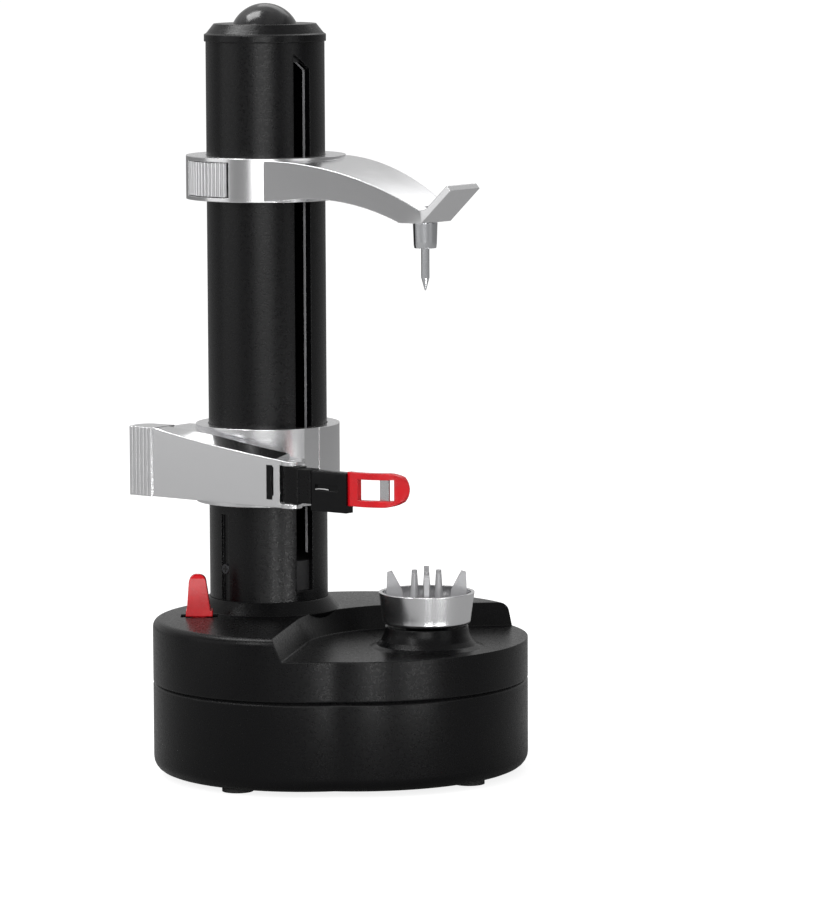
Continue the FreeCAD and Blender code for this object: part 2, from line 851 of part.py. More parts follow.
# Gear train: a motor pinion, two double reduction gears and an idler between two equal wheels.
def gear(teeth, module, bore, low, x, y, phase=0):
    """A spur gear whose first tooth points along the phase angle, with straight flanks."""
    pitch = 360 / teeth
    tip, root = module * (teeth / 2 + 0.8), module * (teeth / 2 - 1.05)
    points = []
    for tooth in range(int(teeth)):
        middle = phase + pitch * tooth
        for radius, share in ((root, -0.31), (tip, -0.11), (tip, 0.11), (root, 0.31)):
            angle = math.radians(middle + pitch * share)
            points.append(Vector(radius * math.cos(angle), radius * math.sin(angle), low))
    disc = Part.Face(Part.makePolygon(points + points[:1])).extrude(Vector(0, 0, s.gear_width))
    disc = disc.cut(Part.makeCylinder(bore, s.gear_width, Vector(0, 0, low)))
    made = document.addObject("Part::Feature", "Gear")
    made.Shape = disc
    return place(made, x, y)


def meshed_phase(teeth, other_teeth, other_phase, direction):
    """The phase that puts a gear's teeth in another gear's gaps, in degrees."""
    return direction + 180 + 180 / teeth - (other_phase - direction) * other_teeth / teeth


wheel, idler, pinion, large = s.wheel_teeth, s.idler_teeth, s.pinion_teeth, s.reduction_teeth
half_span = spike_reach / 2
idler_arm = s.slow_module * (wheel + idler) / 2
lift = math.sqrt(idler_arm * idler_arm - half_span * half_span)
across = math.radians(heading(column, food) + 90)
idler_at = (
    (food[0] + column[0]) / 2 + lift * math.cos(across),
    (food[1] + column[1]) / 2 + lift * math.sin(across),
)
second_arm = s.slow_module * (idler + pinion) / 2
second_at = (
    idler_at[0] - second_arm * math.cos(across),
    idler_at[1] - second_arm * math.sin(across),
)
fast_arm = s.fast_module * (large + pinion) / 2
first_at = (
    second_at[0] + fast_arm * cosine(s.gear_one_angle),
    second_at[1] + fast_arm * sine(s.gear_one_angle),
)
motor_at = (
    first_at[0] + fast_arm * cosine(s.motor_angle),
    first_at[1] + fast_arm * sine(s.motor_angle),
)
idler_phase = meshed_phase(idler, wheel, 0, heading(food, idler_at))
wheel_phase = meshed_phase(wheel, idler, idler_phase, heading(idler_at, column))
second_phase = meshed_phase(pinion, idler, idler_phase, heading(idler_at, second_at))
first_phase = meshed_phase(pinion, large, 0, heading(second_at, first_at))
motor_phase = meshed_phase(pinion, large, 0, heading(first_at, motor_at))
axle_bore = s.axle_radius + s.running_gap
node("turntable_gear", gear(wheel, s.slow_module, s.journal_radius, s.slow_level, *food))
node("screw_gear", gear(wheel, s.slow_module, s.journal_radius, s.slow_level, *column,
                        phase=wheel_phase))
node("idler_gear", gear(idler, s.slow_module, axle_bore, s.slow_level, *idler_at,
                        phase=idler_phase))


def double_gear(at, low, pinion_module, pinion_phase):
    """A large wheel with its pinion above it."""
    high = low + s.gear_width + 0.5
    return fuse(
        gear(large, s.fast_module, axle_bore, low, *at),
        cut(cylinder(s.axle_shoulder_radius, low, high, *at),
            cylinder(axle_bore, low - 1, high + 1, *at)),
        gear(pinion, pinion_module, axle_bore, high, *at, phase=pinion_phase),
    )


node("reduction_gear_two", double_gear(
    second_at, s.middle_level, s.slow_module, second_phase))
node("reduction_gear_one", double_gear(
    first_at, s.fast_level, s.fast_module, first_phase))
node("motor_pinion", gear(pinion, s.fast_module, s.motor_shaft_radius, s.fast_level, *motor_at,
                          phase=motor_phase))


def axle(at, shoulder, top):
    """A pin pressed into the gear plate, with a shoulder that holds its gear up."""
    return fuse(
        cylinder(s.axle_shoulder_radius, plate_top, shoulder - s.end_gap, *at),
        cylinder(s.axle_radius, s.plate_low, top, *at),
    )


node("gear_axles", group(
    axle(idler_at, s.slow_level, s.axle_top),
    axle(second_at, s.middle_level, s.axle_top),
    axle(first_at, s.fast_level, s.middle_level + s.gear_width + 1),
))
plate_corners = [STANDOFFS[0], STANDOFFS[1], food, STANDOFFS[2], STANDOFFS[3]]
plate = fuse(
    prism(plate_corners, s.plate_low, plate_top),
    *(cylinder(s.plate_margin, s.plate_low, plate_top, *at) for at in plate_corners),
    *(cylinder(s.plate_margin, s.plate_low, plate_top, *at) for at in (column, idler_at, first_at)),
)
plate_holes = [
    cylinder(s.shaft_tip_radius + s.running_gap, s.plate_low - 1, plate_top + 1, *at)
    for at in (food, column)
]
plate_holes += [
    cylinder(s.axle_radius, s.plate_low - 1, plate_top + 1, *at)
    for at in (idler_at, second_at, first_at)
]
plate_holes += [
    cylinder(s.screw_shank_radius, s.plate_low - 1, plate_top + 1, x, y) for x, y in STANDOFFS
]
plate_holes.append(cylinder(s.motor_boss_radius, s.plate_low - 1, plate_top + 1, *motor_at))
node("gear_plate", cut(plate, *plate_holes))
node("plate_screws", group(*(
    fuse(cylinder(s.plate_screw_head_radius, plate_top, plate_top + s.plate_screw_head_height, x, y),
         cylinder(s.screw_shank_radius, s.plate_low - s.plate_screw_length, plate_top, x, y))
    for x, y in STANDOFFS
)))
motor_shaft_low = s.plate_low - s.motor_shaft_drop
node("motor", cut(
    fuse(cylinder(s.motor_radius, s.motor_low, s.plate_low, *motor_at),
         cylinder(s.motor_boss_radius, s.plate_low, plate_top - 0.5, *motor_at)),
    cylinder(s.motor_shaft_radius + s.running_gap, motor_shaft_low - 1, plate_top, *motor_at),
))
node("motor_shaft", cylinder(
    s.motor_shaft_radius, motor_shaft_low, s.fast_level + s.gear_width, *motor_at))

# Turntable: a cup with flat fins and pegs, on a shaft through the pedestal.
cup_low = s.pedestal_top + s.cup_gap
cup_floor = cup_low + s.cup_floor
cup_rim = cup_low + s.cup_height
node("turntable_bush", cut(
    fuse(cylinder(bush_radius, s.recess_floor - s.housing_wall, s.pedestal_top, *food),
         cylinder(bush_radius + 1.5, s.pedestal_top, s.pedestal_top + 0.7, *food)),
    cylinder(s.journal_radius + s.running_gap, s.recess_floor - 5, s.pedestal_top + 2, *food),
))
node("turntable_shaft", turned([
    (0, s.plate_low),
    (s.shaft_tip_radius, s.plate_low),
    (s.shaft_tip_radius, shaft_foot),
    (s.journal_radius, shaft_foot),
    (s.journal_radius, cup_floor - 1.5),
    (0, cup_floor - 1.5),
], *food))
node("turntable_cup", cut(
    turned([
        (0, cup_low),
        (s.cup_foot_radius - 1.2, cup_low),
        [(s.cup_foot_radius - 0.3, cup_low + 0.4), (s.cup_foot_radius, cup_low + 1.4)],
        (s.cup_rim_radius, cup_rim),
        (s.cup_rim_radius - s.cup_wall, cup_rim),
        [(s.cup_rim_radius - s.cup_wall - 1.2, cup_floor + 2.2),
         (s.cup_rim_radius - s.cup_wall - 4.0, cup_floor)],
        (0, cup_floor),
    ], *food),
    cylinder(s.journal_radius, cup_low - 1, cup_floor - 1.5, *food),
))
fin_profile = [
    (8.4, cup_floor),
    (12.6, cup_floor),
    (15.6, cup_floor + 3.6),
    (15.2, s.fin_top - 0.6),
    (13.4, s.fin_top),
    (9.4, cup_rim + 0.6),
]
node("turntable_fins", place(group(*(
    place(group(front_prism(fin_profile, -s.fin_thickness / 2, s.fin_thickness / 2)), turn=turn)
    for turn in (0, 90, 180, 270)
)), *food))
peg_spots = [(0, 0)] + [
    (s.peg_ring_radius * cosine(turn), s.peg_ring_radius * sine(turn)) for turn in (45, 135, 225, 315)
]
node("turntable_pegs", place(group(*(
    cone(s.peg_foot_radius, s.peg_tip_radius, cup_floor, s.peg_top, x, y) for x, y in peg_spots
)), *food))


# Peeling arm. Along the arm is X here, and the side towards the user is -Y.
def arm_turned(piece):
    return place(piece, s.column_x, s.column_y, 0, arm_angle)


ring_bore = s.column_radius + s.sliding_gap
beam_back = s.beam_front - s.beam_depth
beam_plan = prism([
    (s.beam_left, -s.beam_front),
    (s.pivot_reach, -s.beam_front),
    (s.pivot_reach, -beam_back),
    (4, -beam_back),
    (0, -s.ring_radius + 1),
    (-4, -ring_bore - 1),
    (s.beam_left + 3, -15),
    (s.beam_left, -19),
], s.beam_low - 1, s.beam_left_high + 2)
beam_face = front_prism([
    (s.beam_left, s.beam_low),
    (s.pivot_reach, s.beam_low),
    (s.pivot_reach, s.beam_right_high),
    [((s.beam_left + s.pivot_reach) / 2,
      (s.beam_left_high + s.beam_right_high) / 2 - s.beam_sag), (s.beam_left, s.beam_left_high)],
], -s.beam_front - 1, 0)
grip = prism([
    (s.beam_left + 0.5, -s.beam_front),
    (s.beam_left + 0.5, -beam_back + 1),
    (s.grip_left + 3, -beam_back),
    [(s.grip_left, -s.beam_front + 4), (s.grip_left + 3, -s.beam_front - 0.2)],
], s.beam_low, s.grip_high)
rib_count = 6
rib_pitch = (s.beam_left - s.grip_left - 2) / rib_count
ribs = [
    cylinder(s.grip_rib_radius, s.beam_low, s.grip_high,
             s.grip_left + 2.2 + rib_pitch * rib, -s.beam_front - 0.1)
    for rib in range(rib_count)
]
ear = cylinder(s.ear_radius, s.beam_low, s.beam_right_high, s.pivot_reach, -s.pivot_front)
ring = cylinder(s.ring_radius, s.peel_ring_low, s.peel_ring_high)
boss = block((-s.boss_half_width, -s.ring_radius - 1.2, s.boss_low),
             (s.boss_half_width, -s.ring_radius + 2, s.boss_high))
ear_low, ear_high = s.beam_low + s.ear_thickness, s.beam_right_high - s.ear_thickness
spring_room = 6.0
node("peeling_arm", arm_turned(cut(
    fuse(common(beam_plan, beam_face), grip, ear, ring, boss, *ribs),
    cylinder(ring_bore, s.peel_ring_low - 1, s.peel_ring_high + 1),
    cylinder(s.tongue_reach + s.sliding_gap, s.tongue_low - s.sliding_gap,
             s.tongue_low + s.tongue_height + s.sliding_gap),
    cylinder(s.tongue_reach, s.peel_ring_low - 1, s.peel_ring_low + spring_room),
    block((s.pivot_reach - s.clevis_depth, -s.beam_front - 2, ear_low),
          (s.pivot_reach + s.ear_radius + 1, -beam_back + 3, ear_high)),
    block((s.window_left, -s.beam_front - 1, s.window_low),
          (s.window_left + s.window_width, -s.beam_front + s.window_depth, s.window_high)),
    place(group(block(
        (s.ring_radius - s.ring_groove_depth, -s.ring_groove_width / 2, s.peel_ring_low - 1),
        (s.ring_radius + 1, s.ring_groove_width / 2, s.peel_ring_high + 1),
    )), turn=s.slot_angle - arm_angle),
    cylinder(s.pivot_pin_radius, s.beam_low - 1, s.beam_right_high + 1,
             s.pivot_reach, -s.pivot_front),
)))
spring_low = s.peel_ring_low + 0.4
coil = 1.35
coils = 4
spring_inside, spring_outside = ring_bore + 0.5, s.tongue_reach
coil_profile = [(spring_inside, spring_low), (spring_outside - 0.5, spring_low)]
for turn in range(coils):
    coil_profile.append((spring_outside, spring_low + coil * (turn + 0.5)))
    coil_profile.append((spring_outside - 0.5, spring_low + coil * (turn + 1)))
coil_profile.append((spring_inside, spring_low + coil * coils))
node("arm_swing_spring", turned(coil_profile, *column))
node("blade_pivot_pin", arm_turned(group(cylinder(
    s.pivot_pin_radius, s.beam_low, s.beam_right_high - 0.3, s.pivot_reach, -s.pivot_front))))

# Blade holder: a block between the ears, an extension, and a red guard round the blade.
half_block = s.holder_block_depth / 2
block_step_at = s.pivot_reach + s.holder_block_step
block_right = s.pivot_reach + s.holder_block_right
holder_right = s.pivot_reach + s.holder_right
guard_right = s.pivot_reach + s.guard_right
blade_left = s.pivot_reach + s.blade_left
block_front, block_back = s.pivot_front + half_block, s.pivot_front - half_block
lug_low, lug_high = ear_low + s.sliding_gap, ear_high - s.sliding_gap
block_step = 0.5
node("blade_holder_block", arm_turned(cut(
    fuse(
        block((s.pivot_reach, -block_front, lug_low), (block_step_at, -block_back, lug_high)),
        block((block_step_at, -block_front + block_step, lug_low + block_step),
              (block_right, -block_back, lug_high - block_step)),
        cylinder(half_block, lug_low, lug_high, s.pivot_reach, -s.pivot_front),
    ),
    cylinder(s.pivot_pin_radius + s.running_gap, s.beam_low, s.beam_right_high,
             s.pivot_reach, -s.pivot_front),
)))
holder_front = s.pivot_front + s.holder_depth / 2
holder_back = holder_front - s.holder_depth
node("blade_holder", arm_turned(cut(
    rounded(prism([
        (block_right, -holder_front),
        (holder_right, -holder_front),
        (holder_right, -holder_back),
        (block_right, -holder_back),
    ], s.holder_low, s.holder_high), 0.7, level(s.holder_high)),
    block((block_right + 2, -holder_front - 1, s.holder_slot_low),
          (holder_right - 4, -holder_front + 0.8, s.holder_slot_low + s.holder_slot_height)),
)))
node("blade_guard", arm_turned(cut(
    common(
        prism([
            (holder_right, -s.pivot_front - 1.1),
            [(guard_right - 5.2, -s.guard_nose - 2.0), (guard_right, -s.guard_nose + 4.2)],
            (guard_right - s.guard_thickness, -s.guard_nose + 4.2),
            [(guard_right - 6.6, -s.guard_nose - 0.1),
             (holder_right, -s.pivot_front + s.guard_thickness - 1.1)],
        ], s.guard_low - 1, s.guard_high + 1),
        front_prism([
            (holder_right - 1, s.guard_low),
            (guard_right - 7, s.guard_low),
            [(guard_right - 1.9, s.guard_low + 2.2), (guard_right, s.guard_low + 7)],
            [(guard_right - 1.9, s.guard_high - 1.9), (guard_right - 7, s.guard_high)],
            (holder_right - 1, s.guard_high),
        ], -s.beam_front - 2, -20),
    ),
    block((s.pivot_reach + s.throat_left, -s.beam_front - 2, s.guard_low + s.guard_bar),
          (s.pivot_reach + s.throat_right, -20, s.guard_high - s.guard_bar)),
)))
blade_front = s.guard_nose + 2.0
node("blade", arm_turned(group(block(
    (blade_left, -blade_front, s.guard_low + s.guard_bar),
    (blade_left + s.blade_width, -blade_front + s.blade_thickness,
     s.guard_high - s.guard_bar),
))))

# Top arm: a ring, an arched arm that narrows towards the spike, and an upturned tab.
half_end, half_shoulder = s.arm_end_width / 2, s.arm_shoulder_width / 2
arm_end_low = s.top_ring_low - s.arm_end_drop
arm_end_high = arm_end_low + s.arm_end_thickness
tab_foot = spike_reach + 5.2
tab_end_x = tab_foot + s.tab_length * cosine(s.tab_angle)
tab_end_z = arm_end_low + s.tab_length * sine(s.tab_angle)
tab_back = (s.tab_thickness * sine(s.tab_angle), s.tab_thickness * cosine(s.tab_angle))
arm_plan = prism([
    (6, -half_shoulder),
    (tab_foot, -half_end),
    (tab_end_x + 2, -half_end),
    (tab_end_x + 2, half_end),
    (tab_foot, half_end),
    (6, half_shoulder),
], arm_end_low - 5, s.top_ring_high + 10)
arm_side = front_prism([
    (10, s.top_ring_low + 0.6),
    (24, s.top_ring_low + 0.8),
    [(49, s.top_ring_low + 1.2), (tab_foot - 9, arm_end_low)],
    (tab_foot, arm_end_low),
    (tab_end_x, tab_end_z),
    (tab_end_x - tab_back[0], tab_end_z + tab_back[1]),
    (tab_foot + 2.0, arm_end_high + 0.6),
    (tab_foot - 1.0, arm_end_high),
    [(53, s.top_ring_high - 5.6), (22, s.top_ring_high - 0.8)],
    (10, s.top_ring_high - 0.8),
], -half_shoulder - 2, half_shoulder + 2)
spring_leaf = 0.5
pad_inside = s.pad_radius - s.pad_thickness
pad_floor = pad_inside - s.pad_travel - spring_leaf - s.end_gap


def sector(radius, low, high, half_angle):
    """A slice of a cylinder about the column's axis, round the release pad."""
    made = cylinder(radius, low, high)
    tie(made, "Angle", 2 * half_angle)
    return place(group(made), turn=s.pad_angle - half_angle)


def hollow_sector(inside, outside, low, high, half_angle):
    return cut(sector(outside, low, high, half_angle), cylinder(inside, low - 1, high + 1))


lock_high = s.lock_low + s.lock_thickness
lock_room = (s.lock_low - s.sliding_gap, lock_high + s.sliding_gap)
lock_hole = s.column_radius + s.end_gap
lock_outside = lock_hole + s.lock_width
stem_half = 3.0
key = place(group(block(
    (column_inside + 0.4, -tongue_half, s.top_ring_low + 0.8),
    (ring_bore + 1, tongue_half, lock_room[0] - s.sliding_gap),
)), turn=s.slot_angle - arm_angle)
stem_way = place(group(block(
    (lock_hole, -stem_half - s.sliding_gap, lock_room[0]),
    (s.pad_radius, stem_half + s.sliding_gap, lock_room[1]),
)), turn=s.pad_angle)
spike_room = arm_end_low + s.spike_bush_height + 1.0
node("top_arm", arm_turned(fuse(
    cut(
        fuse(common(arm_plan, arm_side),
             cylinder(s.top_ring_radius, s.top_ring_low, s.top_ring_high)),
        cylinder(ring_bore, s.top_ring_low - 1, s.top_ring_high + 1),
        cylinder(lock_outside + s.pad_travel + s.sliding_gap, *lock_room),
        hollow_sector(pad_floor, s.pad_radius, s.pad_low - s.sliding_gap,
                      s.pad_high + s.sliding_gap, s.pad_half_angle + s.pad_side_gap),
        stem_way,
        cylinder(s.spike_bush_radius, arm_end_low - 1, spike_room, spike_reach, 0),
    ),
    key,
)))

# Release: a ribbed pad on the ring moves a locking plate off the column.
pad_ribs = 12
pad_rib_radius = 0.65
rib_ring = s.pad_radius - pad_rib_radius
rib_first = s.pad_angle - s.pad_half_angle + 2
rib_step = 2 * (s.pad_half_angle - 2) / (pad_ribs - 1)
pad_rib_row = [
    cylinder(pad_rib_radius, s.pad_low, s.pad_high,
             rib_ring * cosine(rib_first + rib_step * rib),
             rib_ring * sine(rib_first + rib_step * rib))
    for rib in range(pad_ribs)
]
plate_edge = lock_outside + s.pad_travel
node("release_button", arm_turned(fuse(
    hollow_sector(pad_inside, s.pad_radius - 0.6, s.pad_low, s.pad_high, s.pad_half_angle),
    place(group(block(
        (plate_edge, -stem_half, s.lock_low), (pad_inside + 0.8, stem_half, lock_high),
    )), turn=s.pad_angle),
    *pad_rib_row,
)))


def long_hole(radius):
    """A round form drawn out by the pad's travel."""
    return fuse(
        cylinder(radius, s.lock_low, lock_high),
        cylinder(radius, s.lock_low, lock_high, s.pad_travel),
        block((0, -radius, s.lock_low), (s.pad_travel, radius, lock_high)),
    )


node("lock_plate", column_turned(
    cut(long_hole(lock_outside), long_hole(lock_hole)), arm_angle + s.pad_angle))
node("release_springs", arm_turned(group(
    hollow_sector(pad_floor, pad_floor + spring_leaf, s.pad_low + 0.4, lock_room[0],
                  s.pad_half_angle - 5),
    hollow_sector(pad_floor, pad_floor + spring_leaf, lock_room[1], s.pad_high - 0.4,
                  s.pad_half_angle - 5),
)))

# Spike: a chromed sleeve that turns in a bush in the arm's end.
bush_top = arm_end_low + s.spike_bush_height
node("spike_bush", cut(
    cylinder(s.spike_bush_radius, arm_end_low, bush_top, *food),
    cylinder(s.spike_shaft_radius + s.running_gap, arm_end_low - 1, bush_top + 1, *food),
))
sleeve_top = arm_end_low - s.sliding_gap
sleeve_low = arm_end_low - s.spike_sleeve_drop
tip_low = sleeve_low - s.spike_tip_length
node("spike_sleeve", turned([
    (s.spike_tip_radius, sleeve_low),
    (s.spike_radius - 0.5, sleeve_low),
    (s.spike_radius - 0.3, sleeve_low + 1.4),
    (s.spike_radius, sleeve_top),
    (s.spike_shaft_radius, sleeve_top),
    (s.spike_shaft_radius, bush_top + 0.8),
    (0, bush_top + 0.8),
    (0, sleeve_low + 5),
    (s.spike_tip_radius, sleeve_low + 5),
], *food))
node("spike_clip", cut(
    cylinder(s.spike_shaft_radius + 1.2, bush_top + 0.1, bush_top + 0.6, *food),
    cylinder(s.spike_shaft_radius, bush_top - 1, bush_top + 2, *food),
))
node("spike_tip", turned([
    (0, tip_low),
    (0.25, tip_low),
    (s.spike_tip_radius, tip_low + 5),
    (s.spike_tip_radius, sleeve_low + 5),
    (0, sleeve_low + 5),
], *food))

document.recompute()
for thing in document.Objects:
    if {"Invalid", "Error"} & set(thing.State):
        raise RuntimeError(f"{thing.Name} ({thing.Label}) did not build")
for label, piece in nodes.items():
    if piece.Shape.isNull() or not piece.Shape.isValid():
        raise RuntimeError(f"{label} has no valid shape")
os.makedirs("parts", exist_ok=True)
for label, piece in nodes.items():
    piece.Shape.exportStep(f"parts/{label}.step")
print(f"{len(nodes)} sub-parts")
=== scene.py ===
import bmesh
import bpy
import math
from mathutils import Matrix, Vector


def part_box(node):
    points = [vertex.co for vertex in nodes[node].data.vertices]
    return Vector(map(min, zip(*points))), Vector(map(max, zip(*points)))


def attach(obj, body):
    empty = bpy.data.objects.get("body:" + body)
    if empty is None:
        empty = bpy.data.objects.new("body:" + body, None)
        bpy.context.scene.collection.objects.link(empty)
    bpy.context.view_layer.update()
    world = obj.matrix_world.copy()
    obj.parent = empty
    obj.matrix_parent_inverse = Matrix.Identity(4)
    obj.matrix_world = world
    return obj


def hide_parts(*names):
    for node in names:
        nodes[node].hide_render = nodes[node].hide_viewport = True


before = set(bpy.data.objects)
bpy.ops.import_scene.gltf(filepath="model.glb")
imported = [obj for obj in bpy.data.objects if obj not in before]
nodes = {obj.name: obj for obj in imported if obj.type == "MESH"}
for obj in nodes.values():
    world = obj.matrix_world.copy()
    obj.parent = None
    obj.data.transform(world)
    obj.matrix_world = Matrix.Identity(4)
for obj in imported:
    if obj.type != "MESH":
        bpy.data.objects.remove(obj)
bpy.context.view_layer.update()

# Camera: two metres in front of the peeler, looking slightly down on it through a long lens,
# so that its upright lines stay upright.
eye = bpy.data.objects.new("camera", bpy.data.cameras.new("camera"))
bpy.context.scene.collection.objects.link(eye)
eye.location = (0.0336, -2.009, 0.358)
eye.rotation_euler = (math.radians(83.4), math.radians(0.25), 0)
eye.data.lens = 208
bpy.context.scene.camera = eye
bpy.context.scene.view_settings.view_transform = "Standard"


# Worktop: a plain pale sheet, nearly white to the camera, that keeps a soft shadow under
# the base.
def add(tree, kind, inputs=None, **settings):
    """A node with its settings and inputs: a value, or a socket to link from."""
    made = tree.nodes.new(kind)
    for name, value in settings.items():
        setattr(made, name, value)
    for socket, value in (inputs or {}).items():
        if isinstance(value, bpy.types.NodeSocket):
            tree.links.new(value, made.inputs[socket])
        else:
            made.inputs[socket].default_value = value
    return made


def show(mesh, name):
    """A new object in the scene with this mesh."""
    made = bpy.data.objects.new(name, mesh)
    bpy.context.scene.collection.objects.link(made)
    return made


def meshed(form, name, place=None):
    """The finished form as a mesh, moved to its place."""
    made = bpy.data.meshes.new(name)
    form.to_mesh(made)
    form.free()
    if place is not None:
        made.transform(place)
    return made


def join_rings(form, rings, closed=True):
    """Faces between each ring of corners and the next, and over both ends if closed."""
    for before, after in zip(rings, rings[1:]):
        for corner in range(len(before)):
            beside = (corner + 1) % len(before)
            form.faces.new((before[corner], before[beside], after[beside], after[corner]))
    if closed:
        form.faces.new(rings[0])
        form.faces.new(rings[-1])


worktop_form = bmesh.new()
bmesh.ops.create_grid(worktop_form, x_segments=8, y_segments=8, size=40)
worktop_mesh = meshed(worktop_form, "worktop")
worktop = show(worktop_mesh, "worktop")
paper_level = 0.84
paper = bpy.data.materials.new("white_paper")
paper.use_nodes = True
paper_tree = paper.node_tree
paper_tree.nodes.clear()
paper_ray = add(paper_tree, "ShaderNodeLightPath")
paper_lift = add(paper_tree, "ShaderNodeMath",
                 {0: paper_ray.outputs["Is Camera Ray"], 1: paper_level},
                 operation="MULTIPLY")
paper_fibre = add(paper_tree, "ShaderNodeTexNoise", {"Scale": 220.0, "Detail": 4.0})
paper_bump = add(paper_tree, "ShaderNodeBump",
                 {"Strength": 0.04, "Distance": 0.0004, "Height": paper_fibre.outputs["Fac"]})
paper_face = add(paper_tree, "ShaderNodeBsdfDiffuse",
                 {"Color": (0.34, 0.34, 0.34, 1), "Normal": paper_bump.outputs["Normal"]})
paper_glow = add(paper_tree, "ShaderNodeEmission",
                 {"Color": (1, 1, 1, 1), "Strength": paper_lift.outputs[0]})
paper_sum = add(paper_tree, "ShaderNodeAddShader",
                {0: paper_face.outputs[0], 1: paper_glow.outputs[0]})
add(paper_tree, "ShaderNodeOutputMaterial", {"Surface": paper_sum.outputs[0]})
worktop_mesh.materials.append(paper)

# Studio: a wide soft box in front, a bright narrow one at the upper left, others at the left
# and right side, above and behind, two small card lights on the worktop, and an even overhead
# light, in a room that is pale behind the peeler and dim in front of it.
aim_height = 0.15


def soft_box(name, place, *, radiance, wide, high):
    """A soft box of this size and brightness that faces the peeler, at most at aim_height."""
    lamp = bpy.data.lights.new(name, "AREA")
    lamp.shape = "RECTANGLE"
    lamp.size, lamp.size_y = wide, high
    lamp.energy = radiance * math.pi * wide * high
    made = bpy.data.objects.new(name, lamp)
    bpy.context.scene.collection.objects.link(made)
    made.location = place
    aim = Vector((0, 0, min(aim_height, place[2]))) - Vector(place)
    made.rotation_euler = aim.to_track_quat("-Z", "Y").to_euler()


soft_box("front_box", (-0.15, -2.15, 0.55), radiance=4.0, wide=1.3, high=0.9)
soft_box("left_box", (-0.95, -1.05, 1.0), radiance=8, wide=0.3, high=0.9)
soft_box("side_box", (-1.7, -0.5, 0.45), radiance=0.9, wide=1.3, high=0.9)
soft_box("near_card", (0.066, -0.327, 0.021), radiance=12, wide=0.06, high=0.042)
soft_box("right_card", (0.208, -0.269, 0.021), radiance=8, wide=0.11, high=0.042)
soft_box("right_box", (1.3, -1.0, 0.55), radiance=1.0, wide=0.9, high=1.0)
soft_box("top_box", (-0.5, 0.1, 1.25), radiance=8, wide=0.5, high=0.6)
soft_box("rear_box", (0.3, 1.2, 1.3), radiance=1.2, wide=1.2, high=0.6)
overhead = bpy.data.lights.new("overhead", "SUN")
overhead.energy = 0.7
overhead.angle = math.radians(120)
overhead_lamp = bpy.data.objects.new("overhead", overhead)
overhead_lamp.rotation_euler = (math.radians(12), math.radians(-10), 0)
bpy.context.scene.collection.objects.link(overhead_lamp)
room_seen, room_diffuse, room_front, room_rear = 1.0, 0.4, 0.02, 0.55
room = bpy.data.worlds.new("pale_room")
bpy.context.scene.world = room
room.use_nodes = True
room_tree = room.node_tree
room_ray = add(room_tree, "ShaderNodeLightPath")
room_way = add(room_tree, "ShaderNodeTexCoord")
room_split = add(room_tree, "ShaderNodeSeparateXYZ", {0: room_way.outputs["Generated"]})
room_back = add(room_tree, "ShaderNodeMapRange",
                {"Value": room_split.outputs["Y"], "From Min": -0.3, "From Max": 0.7,
                 "To Min": room_front, "To Max": room_rear}, interpolation_type="SMOOTHSTEP")
room_gloss = add(room_tree, "ShaderNodeMix",
                 {0: room_ray.outputs["Is Glossy Ray"], 2: room_diffuse,
                  3: room_back.outputs["Result"]}, data_type="FLOAT")
room_level = add(room_tree, "ShaderNodeMix",
                 {0: room_ray.outputs["Is Camera Ray"], 2: room_gloss.outputs[0],
                  3: room_seen}, data_type="FLOAT")
room_shade = room_tree.nodes["Background"]
room_shade.inputs["Color"].default_value = (1, 1, 1, 1)
room_tree.links.new(room_level.outputs[0], room_shade.inputs["Strength"])


# Base housing: two black moulded shells, an upper and a lower, with a fine spark-eroded grain.
# Their outer edges are rounded by the mould and a little paler where hands have rubbed them.
def shader_group(name, inputs, outputs):
    """An empty shader group: inputs are (name, value) pairs, outputs are (name, type) pairs."""
    tree = bpy.data.node_groups.new(name, "ShaderNodeTree")
    for label, value in inputs:
        socket = tree.interface.new_socket(label, in_out="INPUT", socket_type="NodeSocketFloat")
        socket.default_value = value
    for label, kind in outputs:
        tree.interface.new_socket(label, in_out="OUTPUT", socket_type=kind)
    return tree, tree.nodes.new("NodeGroupInput"), tree.nodes.new("NodeGroupOutput")


grain_group, grain_in, grain_out = shader_group(
    "moulded_grain", [("Scale", 1500.0), ("Contrast", 1.0)],
    [("Height", "NodeSocketFloat"), ("Fleck", "NodeSocketFloat")])
grain_place = add(grain_group, "ShaderNodeTexCoord")
grain_cells = add(grain_group, "ShaderNodeTexVoronoi",
                  {"Vector": grain_place.outputs["Object"], "Scale": grain_in.outputs["Scale"]},
                  feature="SMOOTH_F1")
grain_wide = add(grain_group, "ShaderNodeMath", {0: grain_in.outputs["Scale"], 1: 0.35},
                 operation="MULTIPLY")
grain_noise = add(grain_group, "ShaderNodeTexNoise",
                  {"Vector": grain_place.outputs["Object"], "Scale": grain_wide.outputs[0],
                   "Detail": 5.0, "Roughness": 0.65})
grain_mix = add(grain_group, "ShaderNodeMath",
                {0: grain_cells.outputs["Distance"], 1: grain_noise.outputs["Fac"]},
                operation="ADD")
grain_level = add(grain_group, "ShaderNodeMath",
                  {0: grain_mix.outputs[0], 1: grain_in.outputs["Contrast"]},
                  operation="MULTIPLY")
grain_fleck = add(grain_group, "ShaderNodeMapRange",
                  {"Value": grain_noise.outputs["Fac"], "From Min": 0.35, "From Max": 0.7})
grain_group.links.new(grain_level.outputs[0], grain_out.inputs["Height"])
grain_group.links.new(grain_fleck.outputs["Result"], grain_out.inputs["Fleck"])

